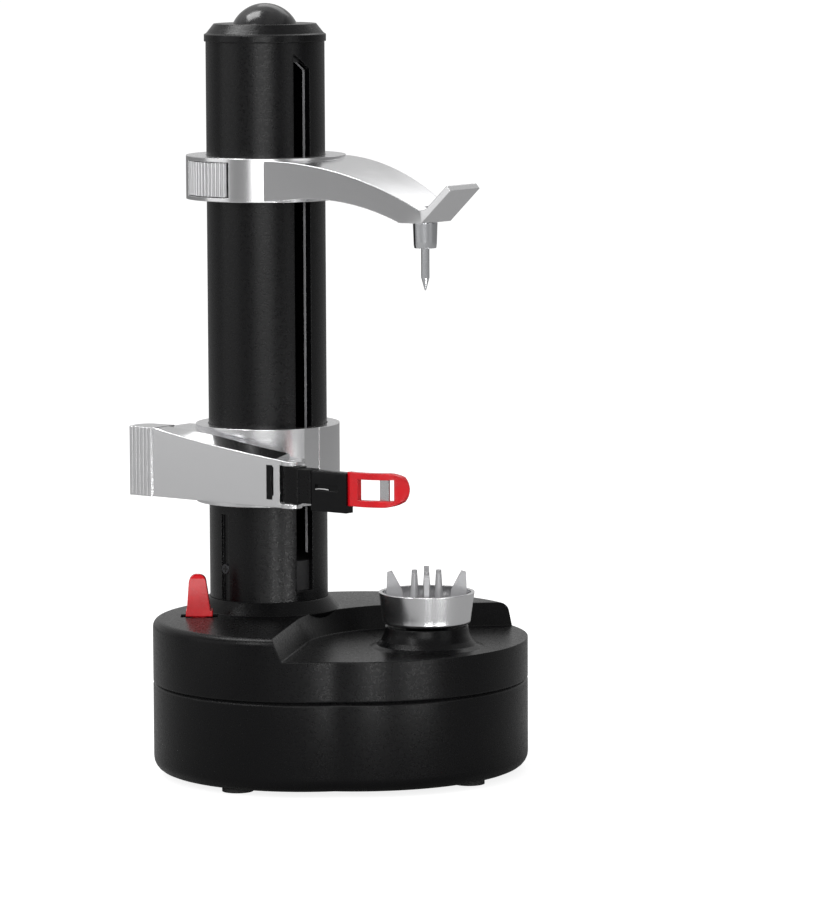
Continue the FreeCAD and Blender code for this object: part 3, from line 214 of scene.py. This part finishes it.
# Edge mask: rubbed wear on the moulded plastics, and a painted highlight on the metals and
# lacquers, which take a brighter colour along it.
wear_highlight_group, wear_highlight_in, wear_highlight_out = shader_group(
    "edge_wear_highlight", [("Width", 0.0006), ("Amount", 1.0)],
    [("Mask", "NodeSocketFloat")])
wear_highlight_bevel = add(wear_highlight_group, "ShaderNodeBevel", {"Radius": wear_highlight_in.outputs["Width"]}, samples=4)
wear_highlight_face = add(wear_highlight_group, "ShaderNodeNewGeometry")
wear_highlight_turn = add(wear_highlight_group, "ShaderNodeVectorMath",
                {0: wear_highlight_bevel.outputs["Normal"], 1: wear_highlight_face.outputs["Normal"]},
                operation="DOT_PRODUCT")
wear_highlight_place = add(wear_highlight_group, "ShaderNodeTexCoord")
wear_highlight_noise = add(wear_highlight_group, "ShaderNodeTexNoise",
                 {"Vector": wear_highlight_place.outputs["Object"], "Scale": 260.0, "Detail": 4.0})
wear_highlight_edge = add(wear_highlight_group, "ShaderNodeMapRange",
                {"Value": wear_highlight_turn.outputs["Value"], "From Min": 0.995, "From Max": 0.86})
wear_highlight_broken = add(wear_highlight_group, "ShaderNodeMath",
                  {0: wear_highlight_edge.outputs["Result"], 1: wear_highlight_noise.outputs["Fac"]},
                  operation="MULTIPLY")
wear_highlight_level = add(wear_highlight_group, "ShaderNodeMath",
                 {0: wear_highlight_broken.outputs[0], 1: wear_highlight_in.outputs["Amount"]},
                 operation="MULTIPLY", use_clamp=True)
wear_highlight_group.links.new(wear_highlight_level.outputs[0], wear_highlight_out.inputs["Mask"])

dust_group, dust_in, dust_out = shader_group(
    "settled_dust", [("Amount", 0.2), ("Scale", 90.0)],
    [("Mask", "NodeSocketFloat")])
dust_face = add(dust_group, "ShaderNodeNewGeometry")
dust_up = add(dust_group, "ShaderNodeSeparateXYZ", {0: dust_face.outputs["Normal"]})
dust_top = add(dust_group, "ShaderNodeMapRange",
               {"Value": dust_up.outputs["Z"], "From Min": 0.1, "From Max": 1.0,
                "To Min": 0.15})
dust_place = add(dust_group, "ShaderNodeTexCoord")
dust_noise = add(dust_group, "ShaderNodeTexNoise",
                 {"Vector": dust_place.outputs["Object"], "Scale": dust_in.outputs["Scale"],
                  "Detail": 6.0, "Roughness": 0.7})
dust_patch = add(dust_group, "ShaderNodeMapRange",
                 {"Value": dust_noise.outputs["Fac"], "From Min": 0.42, "From Max": 0.75})
dust_both = add(dust_group, "ShaderNodeMath",
                {0: dust_top.outputs["Result"], 1: dust_patch.outputs["Result"]},
                operation="MULTIPLY")
dust_level = add(dust_group, "ShaderNodeMath",
                 {0: dust_both.outputs[0], 1: dust_in.outputs["Amount"]},
                 operation="MULTIPLY", use_clamp=True)
dust_group.links.new(dust_level.outputs[0], dust_out.inputs["Mask"])


def mixed(tree, share, first, second):
    """A colour between two, each a socket or a plain colour."""
    made = add(tree, "ShaderNodeMix", {0: share, 6: first, 7: second}, data_type="RGBA")
    return made.outputs[2]


dust_grey = (0.32, 0.31, 0.30, 1)


def moulded(name, colour, *, roughness, grain_scale, grain_depth, wear_highlight=0.35, dust=0.12,
            edge=0.0005, specular=0.5):
    """Moulded plastic: grain in its relief and its gloss, rounded and paler edges, some dust."""
    material = bpy.data.materials.new(name)
    material.use_nodes = True
    tree = material.node_tree
    skin = tree.nodes["Principled BSDF"]
    skin.inputs["Specular IOR Level"].default_value = specular
    grain = add(tree, "ShaderNodeGroup", node_tree=grain_group)
    grain.inputs["Scale"].default_value = grain_scale
    wear_highlight_node = add(tree, "ShaderNodeGroup", node_tree=wear_highlight_group)
    wear_highlight_node.inputs["Width"].default_value = edge
    wear_highlight_node.inputs["Amount"].default_value = wear_highlight
    powder = add(tree, "ShaderNodeGroup", node_tree=dust_group)
    powder.inputs["Amount"].default_value = dust
    pale = [min(1.0, channel * 1.8 + 0.05) for channel in colour]
    deep = [channel * 0.8 for channel in colour]
    flecked = mixed(tree, grain.outputs["Fleck"], (*colour, 1), (*deep, 1))
    rubbed_and_highlit = mixed(tree, wear_highlight_node.outputs["Mask"], flecked, (*pale, 1))
    dusted = mixed(tree, powder.outputs["Mask"], rubbed_and_highlit, dust_grey)
    tree.links.new(dusted, skin.inputs["Base Color"])
    rough_low = add(tree, "ShaderNodeMapRange",
                    {"Value": grain.outputs["Fleck"], "To Min": roughness - 0.06,
                     "To Max": roughness + 0.07})
    rough = add(tree, "ShaderNodeMath",
                {0: rough_low.outputs["Result"], 1: powder.outputs["Mask"]},
                operation="ADD", use_clamp=True)
    tree.links.new(rough.outputs[0], skin.inputs["Roughness"])
    rounding = add(tree, "ShaderNodeBevel", {"Radius": edge}, samples=8)
    bump = add(tree, "ShaderNodeBump",
               {"Strength": 1.0, "Distance": grain_depth, "Height": grain.outputs["Height"],
                "Normal": rounding.outputs["Normal"]})
    tree.links.new(bump.outputs["Normal"], skin.inputs["Normal"])
    return material


weld_distance = 0.000002
sharp_turn = math.radians(16.5)
smoothing = bpy.data.node_groups.new("smooth_rounds", "GeometryNodeTree")
smoothing.interface.new_socket("Geometry", in_out="INPUT", socket_type="NodeSocketGeometry")
smoothing.interface.new_socket("Geometry", in_out="OUTPUT", socket_type="NodeSocketGeometry")
smooth_in = smoothing.nodes.new("NodeGroupInput")
smooth_out = smoothing.nodes.new("NodeGroupOutput")
smooth_weld = add(smoothing, "GeometryNodeMergeByDistance",
                  {"Geometry": smooth_in.outputs[0], "Distance": weld_distance})
smooth_turn = add(smoothing, "GeometryNodeInputMeshEdgeAngle")
smooth_sharp = add(smoothing, "FunctionNodeCompare",
                   {"A": smooth_turn.outputs["Unsigned Angle"], "B": sharp_turn},
                   data_type="FLOAT", operation="GREATER_THAN")
smooth_faces = add(smoothing, "GeometryNodeSetShadeSmooth",
                   {"Geometry": smooth_weld.outputs[0]}, domain="FACE")
smooth_edges = add(smoothing, "GeometryNodeSetShadeSmooth",
                   {"Geometry": smooth_faces.outputs[0], "Selection": smooth_sharp.outputs[0],
                    "Shade Smooth": False}, domain="EDGE")
smoothing.links.new(smooth_edges.outputs[0], smooth_out.inputs[0])


def finish(material, *labels):
    """Give CAD nodes a material, and shade their rounds smooth."""
    for label in labels:
        piece = nodes[label]
        piece.data.materials.clear()
        piece.data.materials.append(material)
        piece.modifiers.new("smooth_rounds", "NODES").node_group = smoothing


black_housing = moulded("black_housing", (0.003, 0.003, 0.0033), roughness=0.3,
                        grain_scale=2300.0, grain_depth=0.00002, dust=0.01, edge=0.0007,
                        specular=0.15)
finish(black_housing, "base_upper_housing", "base_lower_housing")

# Feet: four dark rubber discs under the base that keep the peeler from sliding. They are
# moulded, dull, and pressed into seats in the lower housing.
foot_rubber = moulded("foot_rubber", (0.02, 0.02, 0.02), roughness=0.75, grain_scale=1400.0,
                      grain_depth=0.00002, specular=0.3)
finish(foot_rubber, "rubber_feet")

# Column: a black satin tube, extruded and slotted, with fine grain and a soft upright sheen,
# and the bushes that hold the lead screw inside it.
column_axis = Vector((-0.024, 0.021, 0))
black_column = moulded("black_column", (0.002, 0.002, 0.0024), roughness=0.3,
                       grain_scale=2300.0, grain_depth=0.00003, dust=0.003, specular=0.28)
finish(black_column, "column_tube")
inner_black = moulded("inner_black", (0.02, 0.02, 0.021), roughness=0.5, grain_scale=2000.0,
                      grain_depth=0.00002)
finish(inner_black, "screw_bottom_bush", "screw_top_bush", "nut_carrier", "switch_body",
       "turntable_bush", "dc_jack", "spike_bush")

# Cap: a chamfered black moulded lid that closes the column's top, with a polished dome pressed
# into its middle.
black_cap = moulded("black_cap", (0.003, 0.003, 0.0034), roughness=0.3, grain_scale=1500.0,
                    grain_depth=0.00003, dust=0.01, edge=0.0006, specular=0.26)
finish(black_cap, "column_cap")
gloss_black = moulded("gloss_black", (0.01, 0.01, 0.011), roughness=0.16, grain_scale=600.0,
                      grain_depth=0.000004, wear_highlight=0.1, edge=0.0004)
finish(gloss_black, "cap_dome")


# Arms, release pad and cup: castings and mouldings in satin silver lacquer, with a fine metallic
# flake
# and a painted highlight: their edges are coloured brighter. The cup's fins and pegs are duller.
def plated(name, colour, *, roughness, flake_scale, flake_depth, wear_highlight=0.5, edge=0.0005,
           metallic=1.0):
    """Metal or metallic lacquer: flake in its relief, uneven gloss, edges coloured brighter as a
    painted highlight.
    """
    material = bpy.data.materials.new(name)
    material.use_nodes = True
    tree = material.node_tree
    skin = tree.nodes["Principled BSDF"]
    skin.inputs["Metallic"].default_value = metallic
    flake = add(tree, "ShaderNodeGroup", node_tree=grain_group)
    flake.inputs["Scale"].default_value = flake_scale
    wear_highlight_node = add(tree, "ShaderNodeGroup", node_tree=wear_highlight_group)
    wear_highlight_node.inputs["Width"].default_value = edge
    wear_highlight_node.inputs["Amount"].default_value = wear_highlight
    haze = add(tree, "ShaderNodeGroup", node_tree=dust_group)
    haze.inputs["Amount"].default_value = 0.05
    painted_highlight_colour = [min(1.0, channel * 1.25 + 0.04) for channel in colour]
    deep = [channel * 0.97 for channel in colour]
    flecked = mixed(tree, flake.outputs["Fleck"], (*colour, 1), (*deep, 1))
    # Painted highlight: the edge mask turns the colour brighter along every edge.
    rubbed_and_highlit = mixed(tree, wear_highlight_node.outputs["Mask"], flecked, (*painted_highlight_colour, 1))
    tree.links.new(rubbed_and_highlit, skin.inputs["Base Color"])
    rough_low = add(tree, "ShaderNodeMapRange",
                    {"Value": flake.outputs["Fleck"], "To Min": roughness - 0.02,
                     "To Max": roughness + 0.02})
    rough = add(tree, "ShaderNodeMath",
                {0: rough_low.outputs["Result"], 1: haze.outputs["Mask"]},
                operation="ADD", use_clamp=True)
    tree.links.new(rough.outputs[0], skin.inputs["Roughness"])
    rounding = add(tree, "ShaderNodeBevel", {"Radius": edge}, samples=8)
    bump = add(tree, "ShaderNodeBump",
               {"Strength": 1.0, "Distance": flake_depth, "Height": flake.outputs["Height"],
                "Normal": rounding.outputs["Normal"]})
    tree.links.new(bump.outputs["Normal"], skin.inputs["Normal"])
    return material


# Its edges carry the painted highlight at full strength.
silver_satin = plated("silver_satin", (0.78, 0.78, 0.79), roughness=0.22, flake_scale=3200.0,
                      flake_depth=0.0000005, wear_highlight=1.0, edge=0.0004)
finish(silver_satin, "turntable_cup", "peeling_arm", "top_arm")
ribbed_silver = plated("ribbed_silver", (0.66, 0.66, 0.67), roughness=0.3, flake_scale=3200.0,
                       flake_depth=0.0000005, wear_highlight=0.2, edge=0.00015)
finish(ribbed_silver, "release_button")
fin_silver = plated("fin_silver", (0.36, 0.36, 0.37), roughness=0.46, flake_scale=3200.0,
                    flake_depth=0.000001, edge=0.0002, metallic=0.3)
finish(fin_silver, "turntable_fins", "turntable_pegs")

# Shoulder of the peeling arm: the silver top of its beam, one moulding with it. It slopes up
# from the beam's front edge to the ring behind, with a smooth lacquered face.
arm_turn = math.atan2(-0.047, 0.062)
arm_place = Matrix.Translation(column_axis) @ Matrix.Rotation(arm_turn, 4, "Z")
shoulder_front, shoulder_back = -0.0409, -0.0322
shoulder_sink, shoulder_lip = 0.0010, 0.0002
shoulder_line = [(-0.0235, 0.1341, 0.0001), (-0.0160, 0.1326, 0.0009),
                 (-0.0080, 0.1312, 0.0016), (0.0, 0.1300, 0.0021), (0.0100, 0.1286, 0.0021),
                 (0.0200, 0.1274, 0.0020), (0.0290, 0.1265, 0.0018), (0.0365, 0.1259, 0.0015)]
shoulder_form = bmesh.new()
shoulder_rows = []
for along, height, rise in shoulder_line:
    shoulder_rows.append([shoulder_form.verts.new((along, across, level)) for across, level in (
        (shoulder_front, height - shoulder_sink), (shoulder_front, height - 0.0001),
        (shoulder_front + 0.0003, height + shoulder_lip),
        (shoulder_back - 0.0008, height + shoulder_lip + rise),
        (shoulder_back, height + rise), (shoulder_back, height - shoulder_sink))])
join_rings(shoulder_form, shoulder_rows)
bmesh.ops.recalc_face_normals(shoulder_form, faces=shoulder_form.faces)
shoulder_mesh = meshed(shoulder_form, "beam_shoulder", arm_place)
shoulder_silver = plated("shoulder_silver", (0.78, 0.78, 0.79), roughness=0.1,
                         flake_scale=5200.0, flake_depth=0.0000004, wear_highlight=0.6, edge=0.0003)
shoulder_mesh.materials.append(shoulder_silver)
beam_shoulder = show(shoulder_mesh, "beam_shoulder")
beam_shoulder.modifiers.new("smooth_rounds", "NODES").node_group = smoothing
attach(beam_shoulder, "peeling_arm")

# Window in the peeling arm's front: a glossy black plastic insert, pressed into the pocket in
# the beam, with a waisted right side.
insert_front, insert_depth = -0.04115, 0.0016
insert_outline = [(0.0321, 0.1104), (0.0348, 0.1104), (0.0350, 0.1130), (0.0345, 0.1155),
                  (0.0343, 0.1175), (0.0346, 0.1200), (0.0351, 0.1222), (0.0349, 0.1237),
                  (0.0321, 0.1237)]
insert_form = bmesh.new()
insert_rows = [
    [insert_form.verts.new((along, across, height)) for along, height in insert_outline]
    for across in (insert_front, insert_front + insert_depth)
]
join_rings(insert_form, insert_rows)
bmesh.ops.recalc_face_normals(insert_form, faces=insert_form.faces)
insert_mesh = meshed(insert_form, "window_insert", arm_place)
window_insert = show(insert_mesh, "window_insert")
gloss_holder = moulded("gloss_holder", (0.002, 0.002, 0.0024), roughness=0.14,
                       grain_scale=900.0, grain_depth=0.000004, wear_highlight=0.1, dust=0.004,
                       edge=0.0004, specular=0.22)
insert_mesh.materials.append(gloss_holder)
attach(window_insert, "peeling_arm")

# Blade holder: a matt black moulded block on a pin in the arm's fork, and the glossy black
# extension that carries the guard.
finish(black_housing, "blade_holder_block")
finish(gloss_holder, "blade_holder")

# Wire in the holder's slot: a thin round rod laid in the front of the extension, coloured pale
# grey as a painted highlight that shows as a fine bright line.
wire_form = bmesh.new()
wire_radius, wire_deep, wire_sides = 0.0002, -0.0398, 8
wire_line = [(0.0548, 0.1157), (0.0563, 0.1160), (0.0590, 0.1161), (0.0613, 0.1159)]
wire_rows = []
for along, height in wire_line:
    wire_rows.append([
        wire_form.verts.new(
            (along, wire_deep + wire_radius * math.cos(2 * math.pi * side / wire_sides),
             height + wire_radius * math.sin(2 * math.pi * side / wire_sides)))
        for side in range(wire_sides)])
join_rings(wire_form, wire_rows)
bmesh.ops.recalc_face_normals(wire_form, faces=wire_form.faces)
wire_mesh = meshed(wire_form, "holder_highlight_wire", arm_place)
# Painted highlight: a plain pale grey, not steel, stands for the bright line along the slot's
# edge.
highlight_line_grey = moulded("highlight_line_grey", (0.5, 0.5, 0.5), roughness=0.25, grain_scale=2200.0,
                    grain_depth=0.000002, wear_highlight=0.1, edge=0.0001)
wire_mesh.materials.append(highlight_line_grey)
holder_highlight_wire = show(wire_mesh, "holder_highlight_wire")
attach(holder_highlight_wire, "blade_holder")

# Spike: a turned and chromed sleeve with a steel point. It turns in a bush at the end of the
# upper arm.
chrome = plated("chrome", (0.72, 0.73, 0.75), roughness=0.12, flake_scale=700.0,
                flake_depth=0.000001, wear_highlight=0.2, edge=0.0003)
finish(chrome, "spike_sleeve", "spike_tip")

# Blade: a stamped and ground strip of stainless steel, held between the bars of its guard.
# Its edge is left bright.
blade_steel = plated("blade_steel", (0.62, 0.62, 0.63), roughness=0.22, flake_scale=2400.0,
                     flake_depth=0.000003, edge=0.0002)
finish(blade_steel, "blade")

# Power lever and blade guard: red moulded plastic, glossy and slightly see-through. The lever
# rocks on a pin in the base, and the guard clips over the end of the blade holder.
red_plastic = moulded("red_plastic", (0.58, 0.004, 0.01), roughness=0.24, grain_scale=500.0,
                      grain_depth=0.000004, wear_highlight=0.1, dust=0.02, edge=0.0006, specular=0.4)
red_skin = red_plastic.node_tree.nodes["Principled BSDF"]
red_skin.inputs["Subsurface Weight"].default_value = 0.12
red_skin.inputs["Subsurface Radius"].default_value = (0.004, 0.0006, 0.0006)
red_skin.inputs["Coat Weight"].default_value = 0.15
red_skin.inputs["Coat Roughness"].default_value = 0.08
finish(red_plastic, "power_lever", "blade_guard")

# Lead screw: a turned steel spindle with a rolled trapezoidal thread, 4 mm a turn, between
# plain journals that run in the column's bushes.
screw_steel = plated("screw_steel", (0.45, 0.45, 0.46), roughness=0.3, flake_scale=2200.0,
                     flake_depth=0.000004, edge=0.0002)
screw_low, screw_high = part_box("lead_screw")
thread_pitch, thread_crest, thread_depth = 0.004, 0.006, 0.0012
crest_half, flank_share = 0.16, 0.18
thread_low, thread_high = 0.0817, 0.2758
foot_radius, shank_radius, top_radius = 0.0025, 0.004, 0.003
shank_low = 0.0317
screw_rows = [(screw_low.z, 0.0), (screw_low.z, foot_radius), (shank_low, foot_radius),
              (shank_low, shank_radius), (thread_low, shank_radius), (thread_low, None)]
thread_rows = 500
screw_rows += [(thread_low + (thread_high - thread_low) * row / thread_rows, None)
               for row in range(thread_rows + 1)]
screw_rows += [(thread_high, top_radius), (screw_high.z, top_radius), (screw_high.z, 0.0)]
screw_sides = 40
screw_form = bmesh.new()
screw_grid = []
for height, radius in screw_rows:
    ring = []
    for side in range(screw_sides):
        turn = side / screw_sides
        reach = radius
        if radius is None:
            phase = (height / thread_pitch - turn) % 1.0
            flank = min(max((abs(phase - 0.5) - crest_half) / flank_share, 0.0), 1.0)
            reach = thread_crest - thread_depth * flank
        angle = 2 * math.pi * turn
        ring.append(screw_form.verts.new(column_axis + Vector(
            (reach * math.cos(angle), reach * math.sin(angle), height))))
    screw_grid.append(ring)
join_rings(screw_form, screw_grid, closed=False)
bmesh.ops.remove_doubles(screw_form, verts=screw_form.verts, dist=0.000001)
screw_mesh = meshed(screw_form, "threaded_spindle")
screw_mesh.materials.append(screw_steel)
threaded_spindle = show(screw_mesh, "threaded_spindle")
threaded_spindle.modifiers.new("smooth_rounds", "NODES").node_group = smoothing
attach(threaded_spindle, "screw")
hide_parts("lead_screw")

# Slot edge line: a thin pale grey strip along the slot's right side, bent over at the slot's
# sloping top end; its pale grey is a painted highlight for the bright edge line there.
slot_turn = math.radians(-50.5)
slot_place = Matrix.Translation(column_axis) @ Matrix.Rotation(slot_turn, 4, "Z")
strip_inner, strip_outer = 0.0184, 0.0196
strip_line = [(0.00394, 0.0845), (0.00394, 0.2728), (-0.0022, 0.2779)]
strip_form = bmesh.new()
strip_rows = [
    [strip_form.verts.new((deep, along, height)) for along, height in strip_line]
    for deep in (strip_inner, strip_outer)
]
for step in range(len(strip_line) - 1):
    strip_form.faces.new((strip_rows[0][step], strip_rows[1][step],
                          strip_rows[1][step + 1], strip_rows[0][step + 1]))
strip_mesh = meshed(strip_form, "slot_highlight_strip", slot_place)
# Painted highlight: plain pale grey for the bright line along the slot's edge.
highlight_strip_grey = moulded("highlight_strip_grey", (0.42, 0.42, 0.43), roughness=0.3, grain_scale=2200.0,
                     grain_depth=0.000004, wear_highlight=0.2, edge=0.0001)
strip_mesh.materials.append(highlight_strip_grey)
slot_highlight_strip = show(strip_mesh, "slot_highlight_strip")
strip_skin = slot_highlight_strip.modifiers.new("strip_thickness", "SOLIDIFY")
strip_skin.thickness = 0.00015
strip_skin.offset = 0
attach(slot_highlight_strip, "root")

# Screws, pins, springs and shafts: zinc-plated and spring steel, turned, stamped or wound. The
# screw in the column's groove is blackened.
finish(screw_steel, "housing_screws", "plate_screws", "lever_pin", "gear_axles", "motor_shaft",
       "turntable_shaft", "arm_swing_spring", "blade_pivot_pin", "lock_plate",
       "release_springs", "spike_clip", "gear_plate")
black_screw = plated("black_screw", (0.07, 0.07, 0.075), roughness=0.25, flake_scale=2200.0,
                     flake_depth=0.000004, edge=0.0002)
finish(black_screw, "column_screw")

# Cross recesses: tapered crosses in the heads of the column screw and the four housing screws,
# coloured near-black as painted shade in the recesses.
# Painted shade: near-black for the shade inside the cross recesses.
recess_painted_shade = moulded("recess_painted_shade", (0.01, 0.01, 0.01), roughness=0.6, grain_scale=2200.0,
                      grain_depth=0.000002, wear_highlight=0.1, edge=0.0001, specular=0.2)
bar_share, floor_share, recess_depth = 0.28, 0.6, 0.0002
column_reach, housing_reach = 0.0012, 0.0019
head_radius, head_height = 0.02315, 0.0785
column_angle = math.radians(-136)
column_spot = (column_axis.x + head_radius * math.cos(column_angle),
               column_axis.y + head_radius * math.sin(column_angle), head_height)
cross_places = [("column_screw_cross",
                 Matrix.Translation(column_spot) @ Matrix.Rotation(column_angle, 4, "Z")
                 @ Matrix.Rotation(math.radians(90), 4, "Y"), column_reach)]
housing_height = 0.01757
housing_spots = ((-0.04586, -0.03897), (0.06365, -0.01898), (0.0449, 0.04432),
                 (-0.05406, 0.01284))
for count, (across, deep) in enumerate(housing_spots, 1):
    cross_places.append((f"housing_screw_cross_{count}",
                         Matrix.Translation((across, deep, housing_height))
                         @ Matrix.Rotation(math.radians(180), 4, "X"), housing_reach))
for label, place, reach in cross_places:
    bar = bar_share * reach
    cross_outline = ((bar, bar), (bar, reach), (-bar, reach), (-bar, bar), (-reach, bar),
                     (-reach, -bar), (-bar, -bar), (-bar, -reach), (bar, -reach), (bar, -bar),
                     (reach, -bar), (reach, bar))
    cross_form = bmesh.new()
    cross_rows = [
        [cross_form.verts.new((share * across, share * deep, level))
         for across, deep in cross_outline]
        for share, level in ((1, 0), (floor_share, -recess_depth))
    ]
    join_rings(cross_form, cross_rows)
    bmesh.ops.recalc_face_normals(cross_form, faces=cross_form.faces)
    cross_mesh = meshed(cross_form, label, place)
    cross_mesh.materials.append(recess_painted_shade)
    cross_piece = show(cross_mesh, label)
    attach(cross_piece, "root")

# Contact pin of the supply socket: a turned, plated brass pin with a rounded end, riveted into
# the socket's floor.
pin_across, pin_height, pin_sides = 0.014, 0.020, 16
pin_profile = [(0.0555, 0.0), (0.0555, 0.001), (0.0625, 0.001), (0.0632, 0.0008),
               (0.0636, 0.0004), (0.0637, 0.0)]
pin_form = bmesh.new()
pin_rows = [
    [pin_form.verts.new(
        (pin_across + radius * math.cos(2 * math.pi * side / pin_sides), along,
         pin_height + radius * math.sin(2 * math.pi * side / pin_sides)))
     for side in range(pin_sides)]
    for along, radius in pin_profile
]
join_rings(pin_form, pin_rows, closed=False)
bmesh.ops.remove_doubles(pin_form, verts=pin_form.verts, dist=0.000001)
bmesh.ops.recalc_face_normals(pin_form, faces=pin_form.faces)
pin_mesh = meshed(pin_form, "socket_pin")
pin_mesh.materials.append(chrome)
socket_pin = show(pin_mesh, "socket_pin")
socket_pin.modifiers.new("smooth_rounds", "NODES").node_group = smoothing
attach(socket_pin, "root")

# Drive: a can motor of drawn and plated steel with a brass pinion on its shaft, and white
# moulded gears on the axles of the gear plate.
motor_can = plated("motor_can", (0.5, 0.5, 0.49), roughness=0.28, flake_scale=1800.0,
                   flake_depth=0.000004, edge=0.0004)
finish(motor_can, "motor")
brass = plated("brass", (0.62, 0.43, 0.16), roughness=0.3, flake_scale=1800.0,
               flake_depth=0.000004, edge=0.0002)
finish(brass, "motor_pinion")
gear_plastic = moulded("gear_plastic", (0.72, 0.71, 0.66), roughness=0.4, grain_scale=1600.0,
                       grain_depth=0.00001, wear_highlight=0.1, edge=0.0002)
finish(gear_plastic, "turntable_gear", "screw_gear", "idler_gear", "reduction_gear_one",
       "reduction_gear_two", "half_nut")
